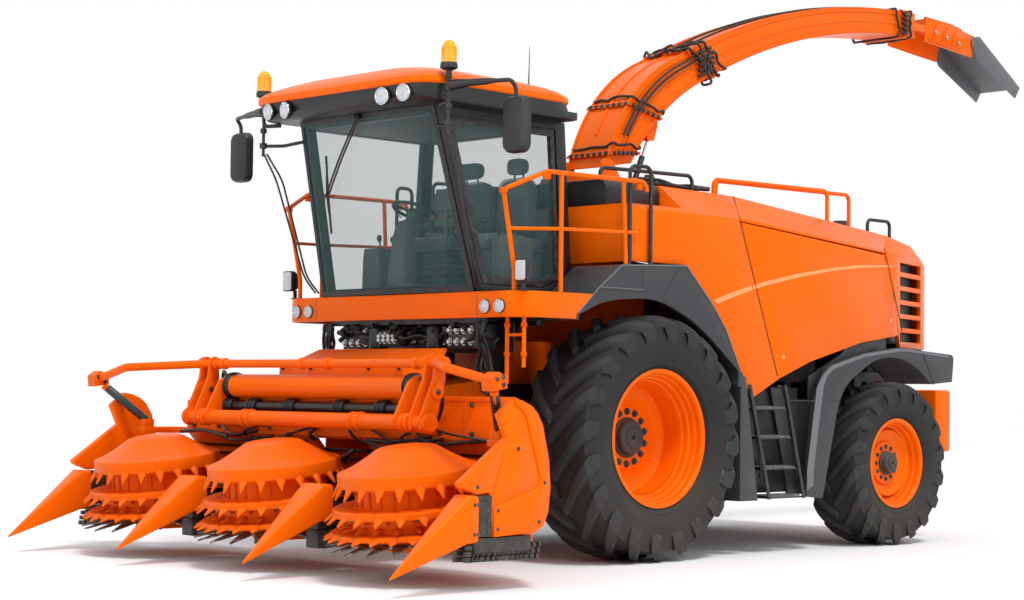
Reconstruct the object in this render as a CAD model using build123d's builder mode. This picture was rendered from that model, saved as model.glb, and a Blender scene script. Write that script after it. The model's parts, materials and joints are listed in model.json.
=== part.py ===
"""A self-propelled forage harvester with a three-rotor maize header, in millimetres.

+X is the machine's left side, -Y is forward and +Z is up, with the ground at Z = 0.
Stations are measured back from the front axle, and back() turns one into the frame's Y.
"""

import os
from math import cos, hypot, radians, sin

from build123d import *

os.makedirs("parts", exist_ok=True)

# ---- driving dimensions ----------------------------------------------------------------
front_axle_y = -1810  # puts the origin under the middle of the whole machine
wheelbase = 3200
body_half_width = 1450  # outer face of fenders and platform
hood_half_width = 1400
joint_gap = 6  # running gap around a hinged panel
pin_clearance = 0.3  # radial clearance of a shaft or pin in its bore

# wheels: tyre outer radius, tyre width, rim flange radius, hub face height over the rim
front_tyre_radius, front_tyre_width, front_rim_radius = 980, 680, 533
rear_tyre_radius, rear_tyre_width, rear_rim_radius = 735, 540, 381
tyre_outer_face = 1500
front_dish_x, rear_dish_x = 1040, 1290
spindle_radius = 60

# frame and axles
rail_half_gap, rail_width, rail_bottom, rail_height = 360, 90, 1180, 220
rail_front, rail_end = -850, 4190
axle_box = 300
kingpin_x, kingpin_radius = 850, 42

# cab
floor_z, floor_thickness = 2030, 70
cab_front_low, cab_front_high, cab_rear = -1530, -1874, -470
cab_half_low, cab_half_high = 915, 811
cab_top_z = 3500
pillar = 70
glass_thickness = 8

# platform and fenders
band_front, band_low, band_high, band_thickness = -1560, 1896, 2095, 40
fender_thickness = 30

# hood
hood_front_y, hood_end = -300, 4200
crease_z, top_edge_x = 2800, 1100
crease_slope = 0.08  # drop of the crease over the run to the rear
slope_start = 1100
hood_wall = 40
door_axis_drop, door_bead = 46, 20

# spout
turret_y, turret_radius, turret_bore, turret_low, turret_high = 720, 300, 225, 3090, 3200
spout_half_width, spout_plate = 230, 16
spout_hinge = (640, 3300)
deflector_hinge, flap_hinge = (5340, 5110), (6290, 5085)

# header
lift_axis = (-700, 1250)  # station and height
header_cylinder_x, barrel_low, rod_low = 300, (-250, 740), (-1500, 560)
feeder_half, feeder_wall, lift_pin_radius = 340, 25, 40
rotor_spacing, rotor_station, rotor_base_z, rotor_tilt = 1523, -2674, 395, 6.8
disc_radius, cover_radius, drum_radius, drum_bore = 630, 500, 360, 290
wall_station, header_floor_z = -1990, 200


def back(station):
    """The frame's Y of a station measured back from the front axle."""
    return front_axle_y + station


def prism(plane, points, depth, both=False):
    """Adds a polygon drawn on a plane and drawn out by depth."""
    with BuildSketch(plane) as outline:
        with BuildLine():
            Polyline(*points, close=True)
        make_face()
    extrude(outline.sketch, amount=depth, both=both)


def side_plane(x):
    """A plane across the machine at x: its own X runs back from the front axle, its Y is up."""
    return Plane(origin=(x, front_axle_y, 0), x_dir=(0, 1, 0), z_dir=(1, 0, 0))


def block(x, stations, heights, mode=Mode.ADD):
    """Adds or cuts a box given by its two corners in x, station and height."""
    size = (x[1] - x[0], stations[1] - stations[0], heights[1] - heights[0])
    centre = (sum(x) / 2, back(sum(stations) / 2), sum(heights) / 2)
    with Locations(centre):
        Box(*size, mode=mode)


def bar(start, end, radius, mode=Mode.ADD):
    """Adds or cuts a round bar between two points (x, station, height)."""
    a, b = (Vector(p[0], back(p[1]), p[2]) for p in (start, end))
    with BuildSketch(Plane(origin=a, z_dir=b - a)) as ring:
        Circle(radius)
    extrude(ring.sketch, amount=(b - a).length, mode=mode)


def tube(points, radius, bend):
    """Adds a bent tube along points (x, station, height), with the same bend at each corner."""
    with BuildLine() as path:
        FilletPolyline(*[(x, back(s), z) for x, s, z in points], radius=bend)
    with BuildSketch(Plane(origin=path.line @ 0, z_dir=path.line % 0)) as ring:
        Circle(radius)
    sweep(ring.sketch, path=path.line)


def both_sides():
    """Copies what has been built on the left to the right."""
    mirror(about=Plane.YZ)


def save(builder, name):
    """Labels a finished piece and writes it as its own file."""
    builder.part.label = name
    export_step(builder.part, f"parts/{name}.step")


# ---- wheels ----------------------------------------------------------------------------
def wheel_plane(side, x, station, height):
    """A wheel's own plane: its Z points out of the machine on that side."""
    return Plane(origin=(side * x, back(station), height), x_dir=(0, 1, 0), z_dir=(side, 0, 0))


def tyre_profile(radius, width, rim):
    """Half a tyre's section: (distance out from the middle, radius), carcass open at the rim."""
    half, wall, bead = width / 2, 45, 0.5
    shoulder = radius - 0.055 * radius
    waist = (radius + rim) / 2 - 20
    return [
        (-half * 0.80, rim + bead), (-half * 0.80, rim + 26), (-half * 0.88, rim + 32), (-half, waist),
        (-half * 0.94, shoulder),
        (-half * 0.80, radius - 12), (0, radius), (half * 0.80, radius - 12), (half * 0.94, shoulder),
        (half, waist), (half * 0.88, rim + 32), (half * 0.80, rim + 26), (half * 0.80, rim + bead),
        (half * 0.80 - wall, rim + bead), (half * 0.86 - wall, rim + 60), (half - wall, waist),
        (half * 0.90 - wall, shoulder - wall), (0, radius - 90), (-half * 0.90 + wall, shoulder - wall),
        (-half + wall, waist), (-half * 0.86 + wall, rim + 60), (-half * 0.80 + wall, rim + bead),
    ]


def rim_profile(rim, width, dish, hub_radius, hub_back):
    """A rim with its dished disc: (distance out from the tyre's middle, radius)."""
    half, hoop = width / 2 * 0.80, 14
    return [
        (hub_back, spindle_radius + pin_clearance), (hub_back, hub_radius), (dish - 30, hub_radius),
        (dish - 30, rim - 130), (dish + 10, rim - 60), (dish + 10, rim - 50 - hoop),
        (-half + 60, rim - 50 - hoop), (-half - hoop, rim - hoop), (-half - hoop, rim + 23),
        (-half, rim + 23), (-half, rim), (-half + 60, rim), (-half + 90, rim - 50),
        (half - 90, rim - 50), (half - 60, rim), (half, rim), (half, rim + 23), (half + hoop, rim + 23),
        (half + hoop, rim - hoop), (half - 60, rim - hoop), (half - 90, rim - 50 - hoop),
        (dish + 34, rim - 50 - hoop), (dish + 34, rim - 60), (dish - 6, rim - 140),
        (dish - 6, hub_radius), (dish + 60, hub_radius - 10), (dish + 70, hub_radius - 40),
        (dish + 70, 0), (dish + 20, 0), (dish + 20, spindle_radius + pin_clearance),
    ]


def turned(plane, profile):
    """Adds a section of (distance along the plane's Z, radius) turned about that Z."""
    section = Plane(origin=plane.origin, x_dir=plane.z_dir, z_dir=plane.y_dir)
    with BuildSketch(section) as half_section:
        with BuildLine():
            Polyline(*profile, close=True)
        make_face()
    revolve(half_section.sketch, axis=Axis(plane.origin, plane.z_dir))


# name, station, tyre radius, tyre width, rim radius, dish x, hub radius, hub's inner face x
wheel_table = [
    ("front", 0, front_tyre_radius, front_tyre_width, front_rim_radius, front_dish_x, 190, 815),
    ("rear", wheelbase, rear_tyre_radius, rear_tyre_width, rear_rim_radius, rear_dish_x, 130, 985),
]
for place, station, radius, width, rim, dish_x, hub_radius, hub_x in wheel_table:
    middle = tyre_outer_face - width / 2
    for side, side_name in ((1, "left"), (-1, "right")):
        plane = wheel_plane(side, middle, station, radius)
        with BuildPart() as tyre:
            turned(plane, tyre_profile(radius, width, rim))
        save(tyre, f"{place}_tyre_{side_name}")
        with BuildPart() as wheel_rim:
            turned(plane, rim_profile(rim, width, dish_x - middle, hub_radius, hub_x - middle))
        save(wheel_rim, f"{place}_rim_{side_name}")

# ---- frame, axles and engine -------------------------------------------------------------
rail_outer = rail_half_gap + rail_width
rail_top = rail_bottom + rail_height
deck_bottom = floor_z - floor_thickness
hitch_bore, jaw_gap, jaw_thickness, jaw_z, hitch_station = 16, 90, 30, 700, 4640
with BuildPart() as main_frame:
    for side in (1, -1):
        rail = sorted((side * rail_half_gap, side * rail_outer))
        block(rail, (rail_front, rail_end), (rail_bottom, rail_top))
        block(rail, (rail_front, rail_front + 100), (rail_top, deck_bottom))
        block(rail, (-1450, rail_front), (deck_bottom - 100, deck_bottom))
        bar((side * (feeder_half - feeder_wall), *lift_axis), (side * rail_outer, *lift_axis),
            lift_pin_radius)
    for station in (-1450, rail_front):
        block((-900, 900), (station, station + 70), (deck_bottom - 100, deck_bottom))
    for station in (1250, 2500, 3800):
        block((-rail_half_gap, rail_half_gap), (station, station + 100), (rail_bottom + 30, rail_top))
    # drawbar under the counterweight, with the towing jaw at its end
    block((-100, 100), (4000, 4100), (jaw_z, rail_top))
    block((-rail_half_gap, rail_half_gap), (4000, 4100), (rail_bottom, rail_top))
    block((-100, 100), (4000, 4560), (jaw_z, jaw_z + jaw_gap + 15))
    block((-100, 100), (4545, 4570), (jaw_z, jaw_z + 2 * jaw_thickness + jaw_gap))
    for z in (jaw_z, jaw_z + jaw_thickness + jaw_gap):
        block((-70, 70), (4560, hitch_station + 50), (z, z + jaw_thickness))
    bar((0, hitch_station, jaw_z - 50), (0, hitch_station, jaw_z + 300), hitch_bore, Mode.SUBTRACT)
save(main_frame, "main_frame")

front_hub_z, rear_hub_z = front_tyre_radius, rear_tyre_radius
lug_pair = (-68, 54)  # inner faces of the two lugs that hold a lift cylinder
with BuildPart() as front_axle:
    block((-600, 600), (-axle_box / 2, axle_box / 2), (front_hub_z - axle_box / 2, rail_bottom))
    for side in (1, -1):
        bar((side * 600, 0, front_hub_z), (side * 800, 0, front_hub_z), 250)
        bar((side * 800, 0, front_hub_z), (side * (front_dish_x + 10), 0, front_hub_z), spindle_radius)
        for lug_side in lug_pair:
            x = side * header_cylinder_x + lug_side
            block((x, x + 14), (-300, -axle_box / 2), (barrel_low[1] - 40, front_hub_z - 100))
        bar((side * header_cylinder_x - 68, *barrel_low), (side * header_cylinder_x + 68, *barrel_low), 20)
save(front_axle, "front_axle")

yoke_half = 60
yoke_stations = (wheelbase - 70, wheelbase + 70)
with BuildPart() as rear_axle:
    block((-700, 700), (wheelbase - 90, wheelbase + 90), (rear_hub_z - 90, rear_hub_z + 90))
    block((-200, 200), (wheelbase - 150, wheelbase + 150), (rear_hub_z + 90, rail_bottom))
    block((-rail_outer, rail_outer), (wheelbase - 150, wheelbase + 150), (rail_bottom - 120, rail_bottom))
    for side in (1, -1):
        for low, high in ((rear_hub_z - 170, rear_hub_z - 110), (rear_hub_z + 110, rear_hub_z + 170)):
            block(sorted((side * 640, side * (kingpin_x + yoke_half))), yoke_stations, (low, high))
        block(sorted((side * 640, side * 700)), yoke_stations, (rear_hub_z - 170, rear_hub_z + 170))
        bar((side * kingpin_x, wheelbase, rear_hub_z - 200), (side * kingpin_x, wheelbase, rear_hub_z + 200),
            kingpin_radius + pin_clearance, Mode.SUBTRACT)
save(rear_axle, "rear_axle")

for side, side_name in ((1, "left"), (-1, "right")):
    with BuildPart() as knuckle:
        for half_height, radius in ((185, kingpin_radius), (103, 72)):
            bar((side * kingpin_x, wheelbase, rear_hub_z - half_height),
                (side * kingpin_x, wheelbase, rear_hub_z + half_height), radius)
        for inner, outer, radius in ((kingpin_x, 955, 95), (955, rear_dish_x + 10, spindle_radius)):
            bar((side * inner, wheelbase, rear_hub_z), (side * outer, wheelbase, rear_hub_z), radius)
    save(knuckle, f"rear_knuckle_{side_name}")

with BuildPart() as engine:
    block((-650, 650), (1950, 3050), (rail_top + 60, 2350))
    for station in (2050, 2850):
        block((-rail_outer, rail_outer), (station, station + 100), (rail_top, rail_top + 60))
save(engine, "engine")

with BuildPart() as chopper_housing:
    prism(side_plane(-rail_half_gap), [(-560, 1180), (-560, 1750), (100, 1750), (450, 2300), (1000, 2300),
                                       (1000, 1180)], 2 * rail_half_gap)
    bar((0, turret_y, 2300), (0, turret_y, turret_low - 40), turret_bore + 30)
    bar((0, turret_y, turret_low - 40), (0, turret_y, turret_low), turret_radius + 40)
    bar((0, turret_y, 1900), (0, turret_y, turret_low + 10), turret_bore, Mode.SUBTRACT)
save(chopper_housing, "chopper_housing")

# ---- cab -----------------------------------------------------------------------------------
corner_radius, fender_inner_x = 250, 930
fender_front, fender_tip, fender_tip_z = -975, -968, 1930
fender_slope = 499 / 412  # run over rise of the front fender's nose
tip_rise = band_high + 10 - fender_tip_z
with BuildSketch(Plane.XY.offset(band_low)) as platform_outline:
    with Locations((0, back((band_front + cab_rear) / 2))):
        Rectangle(2 * body_half_width, cab_rear - band_front)
    fillet(platform_outline.vertices().group_by(Axis.Y)[0], corner_radius)
with BuildSketch(Plane.XY.offset(band_low)) as deck_outline:
    add(platform_outline.sketch)
    offset(amount=-band_thickness, mode=Mode.REPLACE)

with BuildPart() as platform_band:
    extrude(platform_outline.sketch, amount=band_high - band_low)
    extrude(deck_outline.sketch, amount=band_high - band_low, mode=Mode.SUBTRACT)
    with BuildSketch(side_plane(-2000)) as rear_cut:
        with BuildLine():
            Polyline((fender_tip, fender_tip_z), (fender_tip + tip_rise * fender_slope, band_high + 10),
                     (0, band_high + 10), (0, band_low - 10), (fender_tip, band_low - 10), close=True)
        make_face()
    extrude(rear_cut.sketch, amount=4000, mode=Mode.SUBTRACT)
save(platform_band, "platform_band")

with BuildPart() as cab_deck:
    extrude(deck_outline.sketch, amount=floor_z - band_low)
    block((-2000, 2000), (-2000, 0), (0, floor_z - floor_thickness), Mode.SUBTRACT)
    block((fender_inner_x, 2000), (fender_front, 0), (0, 3000), Mode.SUBTRACT)
    block((-2000, -fender_inner_x), (fender_front, 0), (0, 3000), Mode.SUBTRACT)
    block((-cab_half_low, cab_half_low), (band_front + band_thickness, cab_rear), (floor_z, band_high))
save(cab_deck, "cab_deck")


def lean(z):
    """How far up the glasshouse a height is, from 0 at its sill to 1 at its top."""
    return (z - band_high) / (cab_top_z - band_high)


def cab_side_x(z):
    """The half width of the glasshouse at a height."""
    return cab_half_low + (cab_half_high - cab_half_low) * lean(z)


def cab_front_at(z):
    """The station of the windscreen at a height."""
    return cab_front_low + (cab_front_high - cab_front_low) * lean(z)


def glasshouse(inset):
    """The cab's leaning box, smaller by inset all round."""
    sections = []
    for z in (band_high, cab_top_z):
        with BuildSketch(Plane.XY.offset(z)) as section:
            half, front = cab_side_x(z) - inset, back(cab_front_at(z) + inset)
            rear = back(cab_rear) - inset
            with BuildLine():
                Polyline((-half, front), (half, front), (half, rear), (-half, rear), close=True)
            make_face()
        sections.append(section.sketch)
    return loft(sections, ruled=True, mode=Mode.PRIVATE)


window_low, window_high = band_high + 60, cab_top_z - 60
door_front_margin, door_rear_margin = 90, 110
sill_break, sill_rise = -800, 75  # the door's sill rises over the fender behind this station


def side_window(grow):
    """The door opening's outline seen from the side, grown by a gap on each edge."""
    low, high = window_low - grow, window_high + grow
    return [
        (cab_front_at(low) + door_front_margin - grow, low), (sill_break, low),
        (cab_rear - door_rear_margin + grow, low + sill_rise), (cab_rear - door_rear_margin + grow, high),
        (cab_front_at(high) + door_front_margin - grow, high),
    ]


def end_window(grow):
    """The windscreen's or rear window's outline, seen from the front."""
    low, high = window_low - grow, window_high + grow
    low_x, high_x = cab_side_x(low) - pillar + grow, cab_side_x(high) - pillar + grow
    return [(-low_x, low), (low_x, low), (high_x, high), (-high_x, high)]


with BuildPart() as glasshouse_frame:
    add(glasshouse(0))
    add(glasshouse(pillar), mode=Mode.SUBTRACT)
    with BuildSketch(side_plane(-1200)) as side_opening:
        with BuildLine():
            Polyline(*side_window(0), close=True)
        make_face()
    extrude(side_opening.sketch, amount=2400, mode=Mode.SUBTRACT)
    with BuildSketch(Plane.XZ.offset(-back(cab_rear) - 1)) as end_opening:
        with BuildLine():
            Polyline(*end_window(0), close=True)
        make_face()
    extrude(end_opening.sketch, amount=2000, mode=Mode.SUBTRACT)


def shell_pane(outline, plane, depth, outer_inset, inner_inset):
    """A pane or panel lying in the cab's wall between two insets, cut to an outline."""
    pane = glasshouse(outer_inset) - glasshouse(inner_inset)
    with BuildSketch(plane) as window:
        with BuildLine():
            Polyline(*outline, close=True)
        make_face()
    return pane & extrude(window.sketch, amount=depth, mode=Mode.PRIVATE)


pane_inset, door_thickness, door_stile = 20, 40, 55
middle_station = (cab_front_low + cab_rear) / 2
with BuildPart() as cab_glass:
    add(shell_pane(end_window(0), Plane.XZ.offset(-back(middle_station)), 2000,
                   pane_inset, pane_inset + glass_thickness))
    add(shell_pane([(-x, z) for x, z in end_window(0)][::-1], Plane.XZ.offset(-back(middle_station)), -2000,
                   pane_inset, pane_inset + glass_thickness))
    add(shell_pane(side_window(0), side_plane(-cab_half_low - 10), cab_half_low, pane_inset,
                   pane_inset + glass_thickness))
save(cab_glass, "cab_glass")

hinge_station = cab_rear - door_rear_margin - joint_gap - door_bead
hinge_low = (cab_side_x(window_low + sill_rise) - door_thickness / 2, hinge_station, window_low + sill_rise)
hinge_high = (cab_side_x(window_high) - door_thickness / 2, hinge_station, window_high)


def along(start, end, share):
    """The point a share of the way from start to end."""
    return tuple(a + (b - a) * share for a, b in zip(start, end))


door_outline = side_window(-joint_gap)
for i in (2, 3):
    door_outline[i] = (hinge_station, door_outline[i][1])
pane_outline = side_window(-joint_gap - door_stile)
door_pin_radius, door_pin_share = 8, 0.05
with BuildPart() as cab_door:
    add(shell_pane(door_outline, side_plane(0), 2000, 0, door_thickness))
    bar(along(hinge_low, hinge_high, 0.006), along(hinge_low, hinge_high, 0.994), door_bead)
    with BuildSketch(side_plane(0)) as pane_opening:
        with BuildLine():
            Polyline(*pane_outline, close=True)
        make_face()
    extrude(pane_opening.sketch, amount=2000, mode=Mode.SUBTRACT)
    for low, high in ((0, door_pin_share + 0.01), (0.99 - door_pin_share, 1)):
        bar(along(hinge_low, hinge_high, low), along(hinge_low, hinge_high, high),
            door_pin_radius + pin_clearance, Mode.SUBTRACT)
save(cab_door, "cab_door")
with BuildPart() as cab_door_glass:
    add(shell_pane(pane_outline, side_plane(0), 2000, pane_inset, pane_inset + glass_thickness))
save(cab_door_glass, "cab_door_glass")

roof_z = cab_top_z + 60
with BuildPart() as cab_frame:
    add(glasshouse_frame.part)
    for low, high in ((-0.01, door_pin_share), (1 - door_pin_share, 1.01)):
        bar(along(hinge_low, hinge_high, low), along(hinge_low, hinge_high, high), door_pin_radius)
    block((-1000, 1000), (-2020, -520), (cab_top_z, roof_z))
save(cab_frame, "cab_frame")

# roof sections: height, half width in front, half width behind, front station, rear station
roof_sections = [
    (roof_z, 1030, 960, -2200, -500), (3650, 1100, 1010, -2230, -480), (3720, 1070, 980, -2190, -560),
    (3800, 740, 680, -2000, -780), (3840, 380, 340, -1720, -1050),
]
roof_corner = 230


def chamfered(front_half, rear_half, front, rear, corner):
    """A four-sided plan with its corners cut off."""
    return [
        (-front_half + corner, front), (front_half - corner, front), (front_half, front + corner),
        (rear_half, rear - corner), (rear_half - corner, rear), (-rear_half + corner, rear),
        (-rear_half, rear - corner), (-front_half, front + corner),
    ]


with BuildPart() as cab_roof:
    roof_faces = []
    for z, front_half, rear_half, front, rear in roof_sections:
        with BuildSketch(Plane.XY.offset(z)) as section:
            with BuildLine():
                Polyline(*chamfered(front_half, rear_half, back(front), back(rear), roof_corner), close=True)
            make_face()
        roof_faces.append(section.sketch)
    loft(roof_faces, ruled=True)
save(cab_roof, "cab_roof")

# each beacon stands on a post at a front corner of the roof, and the mirror's arm is on that post
post_x, post_station, arm_z, beacon_z, arm_tube = 1118, -2018, 3580, 3716, 15
with BuildPart() as beacons:
    for low, high, radius in ((beacon_z, beacon_z + 50, 66), (beacon_z + 50, beacon_z + 220, 58)):
        bar((post_x, post_station, low), (post_x, post_station, high), radius)
    both_sides()
save(beacons, "beacons")

with BuildPart() as mirrors:
    block((930, 1000), (-2000, -1930), (cab_top_z - 40, cab_top_z))
    tube([(965, -1965, cab_top_z - 20), (post_x, post_station, cab_top_z - 20),
          (post_x, post_station, beacon_z)], arm_tube, 50)
    tube([(post_x, post_station, arm_z), (1640, -1900, arm_z), (1655, -1850, 3440)], arm_tube, 50)
    block((1535, 1775), (-1880, -1800), (3072, 3492))
    both_sides()
save(mirrors, "mirrors")

with BuildPart() as seats:
    for x, half in ((-120, 260), (430, 200)):
        block((x - half * 0.6, x + half * 0.6), (-1050, -700), (band_high, 2480))
        block((x - half, x + half), (-1120, -640), (2480, 2600))
        block((x - half, x + half), (-660, -560), (2600, 3080))
        block((x - half * 0.5, x + half * 0.5), (-650, -570), (3080, 3230))
save(seats, "seats")

wheel_centre = (-120, -1240, 2780)
with BuildPart() as steering_column:
    block((-180, -60), (-1400, -1300), (band_high, band_high + 90))
    bar((-120, -1345, band_high + 50), wheel_centre, 45)
    rim_plane = Plane(origin=(wheel_centre[0], back(wheel_centre[1]), wheel_centre[2]), z_dir=(0, 0.35, 0.94))
    with BuildSketch(rim_plane) as steering_wheel:
        Circle(195)
        Circle(165, mode=Mode.SUBTRACT)
        Rectangle(370, 40)
    extrude(steering_wheel.sketch, amount=26)
save(steering_column, "steering_column")

# ---- fenders, mudguards and tanks ------------------------------------------------------------
front_outline = [(fender_tip, fender_tip_z), (-469, 2342), (303, 2378), (811, 1865), (995, 1523)]
front_arch = [(960, 1534), (680, 1740), (400, 1925), (-60, 2094), (-650, 2055), (-945, fender_tip_z + 2)]
lip_x = body_half_width - 40


def eased(points, reach, steps=4):
    """The points with each inner corner replaced by a short curve that starts reach before it."""
    smooth = [points[0]]
    for (ax, ay), (bx, by), (cx, cy) in zip(points, points[1:], points[2:]):
        before, after = hypot(ax - bx, ay - by), hypot(cx - bx, cy - by)
        first, last = min(reach / before, 0.5), min(reach / after, 0.5)
        start = (bx + (ax - bx) * first, by + (ay - by) * first)
        end = (bx + (cx - bx) * last, by + (cy - by) * last)
        for i in range(steps + 1):
            t = i / steps
            weights = ((1 - t) ** 2, 2 * t * (1 - t), t * t)
            x, y = (sum(w * p[k] for w, p in zip(weights, (start, (bx, by), end))) for k in (0, 1))
            if hypot(x - smooth[-1][0], y - smooth[-1][1]) > 1:
                smooth.append((x, y))
    return smooth + [points[-1]]


def fender_sheet(outline, closing, inner_x, outer_x, arch, lip_inner_x):
    """Adds a folded sheet under an outline and the lip that hangs from its outer edge."""
    with BuildSketch(side_plane(inner_x)) as sheet:
        with BuildLine():
            Polyline(*outline, *closing, close=True)
        make_face()
        offset(amount=-fender_thickness, kind=Kind.INTERSECTION, mode=Mode.SUBTRACT)
        with BuildLine():
            below = closing[-1][1] - 100
            Polyline(*arch, (arch[-1][0], below), (arch[0][0], below), close=True)
        make_face(mode=Mode.SUBTRACT)
    extrude(sheet.sketch, amount=outer_x - inner_x)
    prism(side_plane(lip_inner_x), [*outline, *arch], outer_x - lip_inner_x)


with BuildPart() as front_fenders:
    fender_sheet(eased(front_outline, 60), [(995, 1400), (fender_tip, 1400)], fender_inner_x, body_half_width,
                 eased(front_arch, 200), lip_x)
    block((0, 2000), (-1000, -930), (1300, fender_tip_z - 40), Mode.SUBTRACT)
    prism(side_plane(fender_inner_x), [(-928, deck_bottom), (cab_rear, deck_bottom), (cab_rear, 2336)], 20)
    block((0, 2000), (-2000, fender_front + 7), (0, 3000), Mode.SUBTRACT)
    # mudguard behind the wheel
    block((fender_inner_x, body_half_width), (992, 1020), (455, 1523))
    prism(side_plane(lip_x), [(1020, 1500), (1060, 1480), (1090, 1300), (1225, 455), (1020, 455)],
          body_half_width - lip_x)
    block((rail_outer, fender_inner_x + 30), (1020, 1060), (rail_bottom, 1300))
    both_sides()
save(front_fenders, "front_fenders")

rear_arch = [(2114, 451), (2345, 1299), (2473, 1456), (2889, 1670), (3240, 1690), (3520, 1605), (3745, 1450)]
rear_outline = [(4085, 1475), (4119, 1725), (3239, 1776), (2735, 1719), (2177, 1586), (1999, 1275),
                (1881, 469)]
smooth_arch, arch_top = eased(rear_arch, 150), eased(rear_arch[1:], 150)
arch_inner_x, backing_x, tank_outer_x = 960, 1330, 1220
with BuildPart() as rear_fenders:
    prism(side_plane(lip_x - 10), [*smooth_arch, *eased(rear_outline, 60)], body_half_width - lip_x + 10)
    with BuildSketch(side_plane(arch_inner_x)) as sheet:
        with BuildLine():
            Polyline(*[(s, z + fender_thickness) for s, z in arch_top], *arch_top[::-1], close=True)
        make_face()
    extrude(sheet.sketch, amount=lip_x - 10 - arch_inner_x)
    prism(side_plane(backing_x),
          [(2040, 1275), (2040, 1500), (2500, 1700), (2735, 1880), (3180, 1925), (3180, 1705), (2889, 1700),
           (2473, 1486), (2345, 1329)], 20)
    prism(side_plane(tank_outer_x), [(1890, 480), (1640, 1400), (2010, 1400), (2010, 480)], 30)
    block((tank_outer_x, lip_x - 10), (2010, 2030), (480, 1270))
    both_sides()
save(rear_fenders, "rear_fenders")

with BuildPart() as side_tanks:
    block((rail_outer, tank_outer_x), (1230, 2010), (1180, 1400))
    block((560, tank_outer_x), (1230, 2010), (500, 1180))
    both_sides()
save(side_tanks, "side_tanks")

ladder_foot, ladder_head, ladder_lean = 1370, 1100, 470
with BuildPart() as service_ladders:
    for z in (480, 722, 980, 1224):
        shift = ladder_foot + (ladder_head - ladder_foot) * (z - 480) / 960
        block((tank_outer_x, body_half_width - 12), (shift, shift + ladder_lean), (z - 16, z))
    for run in (0, ladder_lean):
        prism(side_plane(body_half_width - 12),
              [(ladder_foot + run, 460), (ladder_foot + run + 36, 460), (ladder_head + run + 36, 1420),
               (ladder_head + run, 1420)], 12)
    both_sides()
save(service_ladders, "service_ladders")

# ---- hood ----------------------------------------------------------------------------------
step_y, step_z = 350, 2840
roof_line = [(350, 3040), (1310, 3023), (3460, 2820), (4120, 2607), (hood_end, 2570)]
hood_low = [(hood_end, 1780), (3420, 1780), (3378, 1896), (2735, 1810), (1996, 1627), (1574, 1478),
            (1199, 1304), (1024, 1500), (1024, 1524), (995, 1524), (811, 1865), (303, 2378)]
corner_facet = [(hood_half_width, 3215), (1100, 4105), (1060, hood_end)]


def crease_at(station):
    """Height of the hood's crease at a station."""
    return crease_z - crease_slope * max(0, station - slope_start)


def roof_at(station):
    """Height of the hood's top at a station."""
    for (s0, z0), (s1, z1) in zip(roof_line, roof_line[1:]):
        if station <= s1:
            return z0 + (z1 - z0) * (station - s0) / (s1 - s0)
    return roof_line[-1][1]


def hood_solid(wall, open_below):
    """The hood's outer form, or with a wall its cavity, as one solid."""
    low = [(s, z - open_below) for s, z in hood_low]
    with BuildPart(mode=Mode.PRIVATE) as form:
        prism(side_plane(-hood_half_width + wall),
              [(hood_front_y + wall, 2378 - open_below), (hood_front_y + wall, step_z - wall),
               (step_y + wall, step_z - wall), (step_y + wall, 3040 - wall),
               *[(s, z - wall) for s, z in roof_line[1:-1]], (hood_end - wall, 2570 - wall),
               (hood_end - wall, 1780 - open_below), *low[1:]], 2 * (hood_half_width - wall))
        wedge = [(hood_half_width - wall, crease_z), (top_edge_x - wall * 0.6, 3040 - wall * 0.7),
                 (hood_half_width + 50, 3090)]
        for sign in (1, -1):
            points = [(sign * x, z) for x, z in wedge] + [(sign * (hood_half_width + 50), crease_z)]
            with BuildSketch(Plane.XZ.offset(-back(-400))) as first_wedge:
                with BuildLine():
                    Polyline(*points, close=True)
                make_face()
            extrude(first_wedge.sketch, amount=-(slope_start + 400), mode=Mode.SUBTRACT)
            with BuildSketch(Plane.XZ.offset(-back(slope_start))) as second_wedge:
                with BuildLine():
                    Polyline(*points, close=True)
                make_face()
            extrude(second_wedge.sketch, amount=3400, dir=(0, 1, -crease_slope), mode=Mode.SUBTRACT)
            corner = [(sign * (x - wall), back(s - wall * 0.4)) for x, s in corner_facet]
            corner += [(sign * 1600, back(hood_end + 50)), (sign * 1600, back(3000)),
                       (sign * (hood_half_width + 1), back(3150))]
            with BuildSketch(Plane.XY.offset(1000)) as corner_cut:
                with BuildLine():
                    Polyline(*corner, close=True)
                make_face()
            extrude(corner_cut.sketch, amount=3000, mode=Mode.SUBTRACT)
    return form.part


hood_shell = hood_solid(0, 0) - hood_solid(hood_wall, 400)

joint_one = [(1310, 3400), (1310, 3023), (1030, 2800), (1550, 1490), (1620, 1200)]
joint_two = [(3460, 3400), (3460, 2820), (3080, 2643), (3350, 1925), (3420, 1500)]


def shifted(points, amount):
    """A joint line moved along the machine."""
    return [(s + amount, z) for s, z in points]


def on_line(start, end, drop):
    """The point of a joint line that lies a drop below its start."""
    return (start[0] + (end[0] - start[0]) * drop / (start[1] - end[1]), start[1] - drop)


def region(points):
    """A prism right across the machine over a side outline."""
    with BuildSketch(side_plane(-2000)) as outline:
        with BuildLine():
            Polyline(*points, close=True)
        make_face()
    return extrude(outline.sketch, amount=4000, mode=Mode.PRIVATE)


axis_x = hood_half_width - hood_wall / 2


def door_axis(station):
    """The point of the service door's hinge axis at a station."""
    return (axis_x, station, crease_at(station) - door_axis_drop)


service_axis = (door_axis(1062), door_axis(3083))
service_pin_radius, corner_drop = 9, 35
pin_share = 0.021  # each pin reaches this share of the door's length into it
turret_hole = turret_radius + 60

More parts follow.
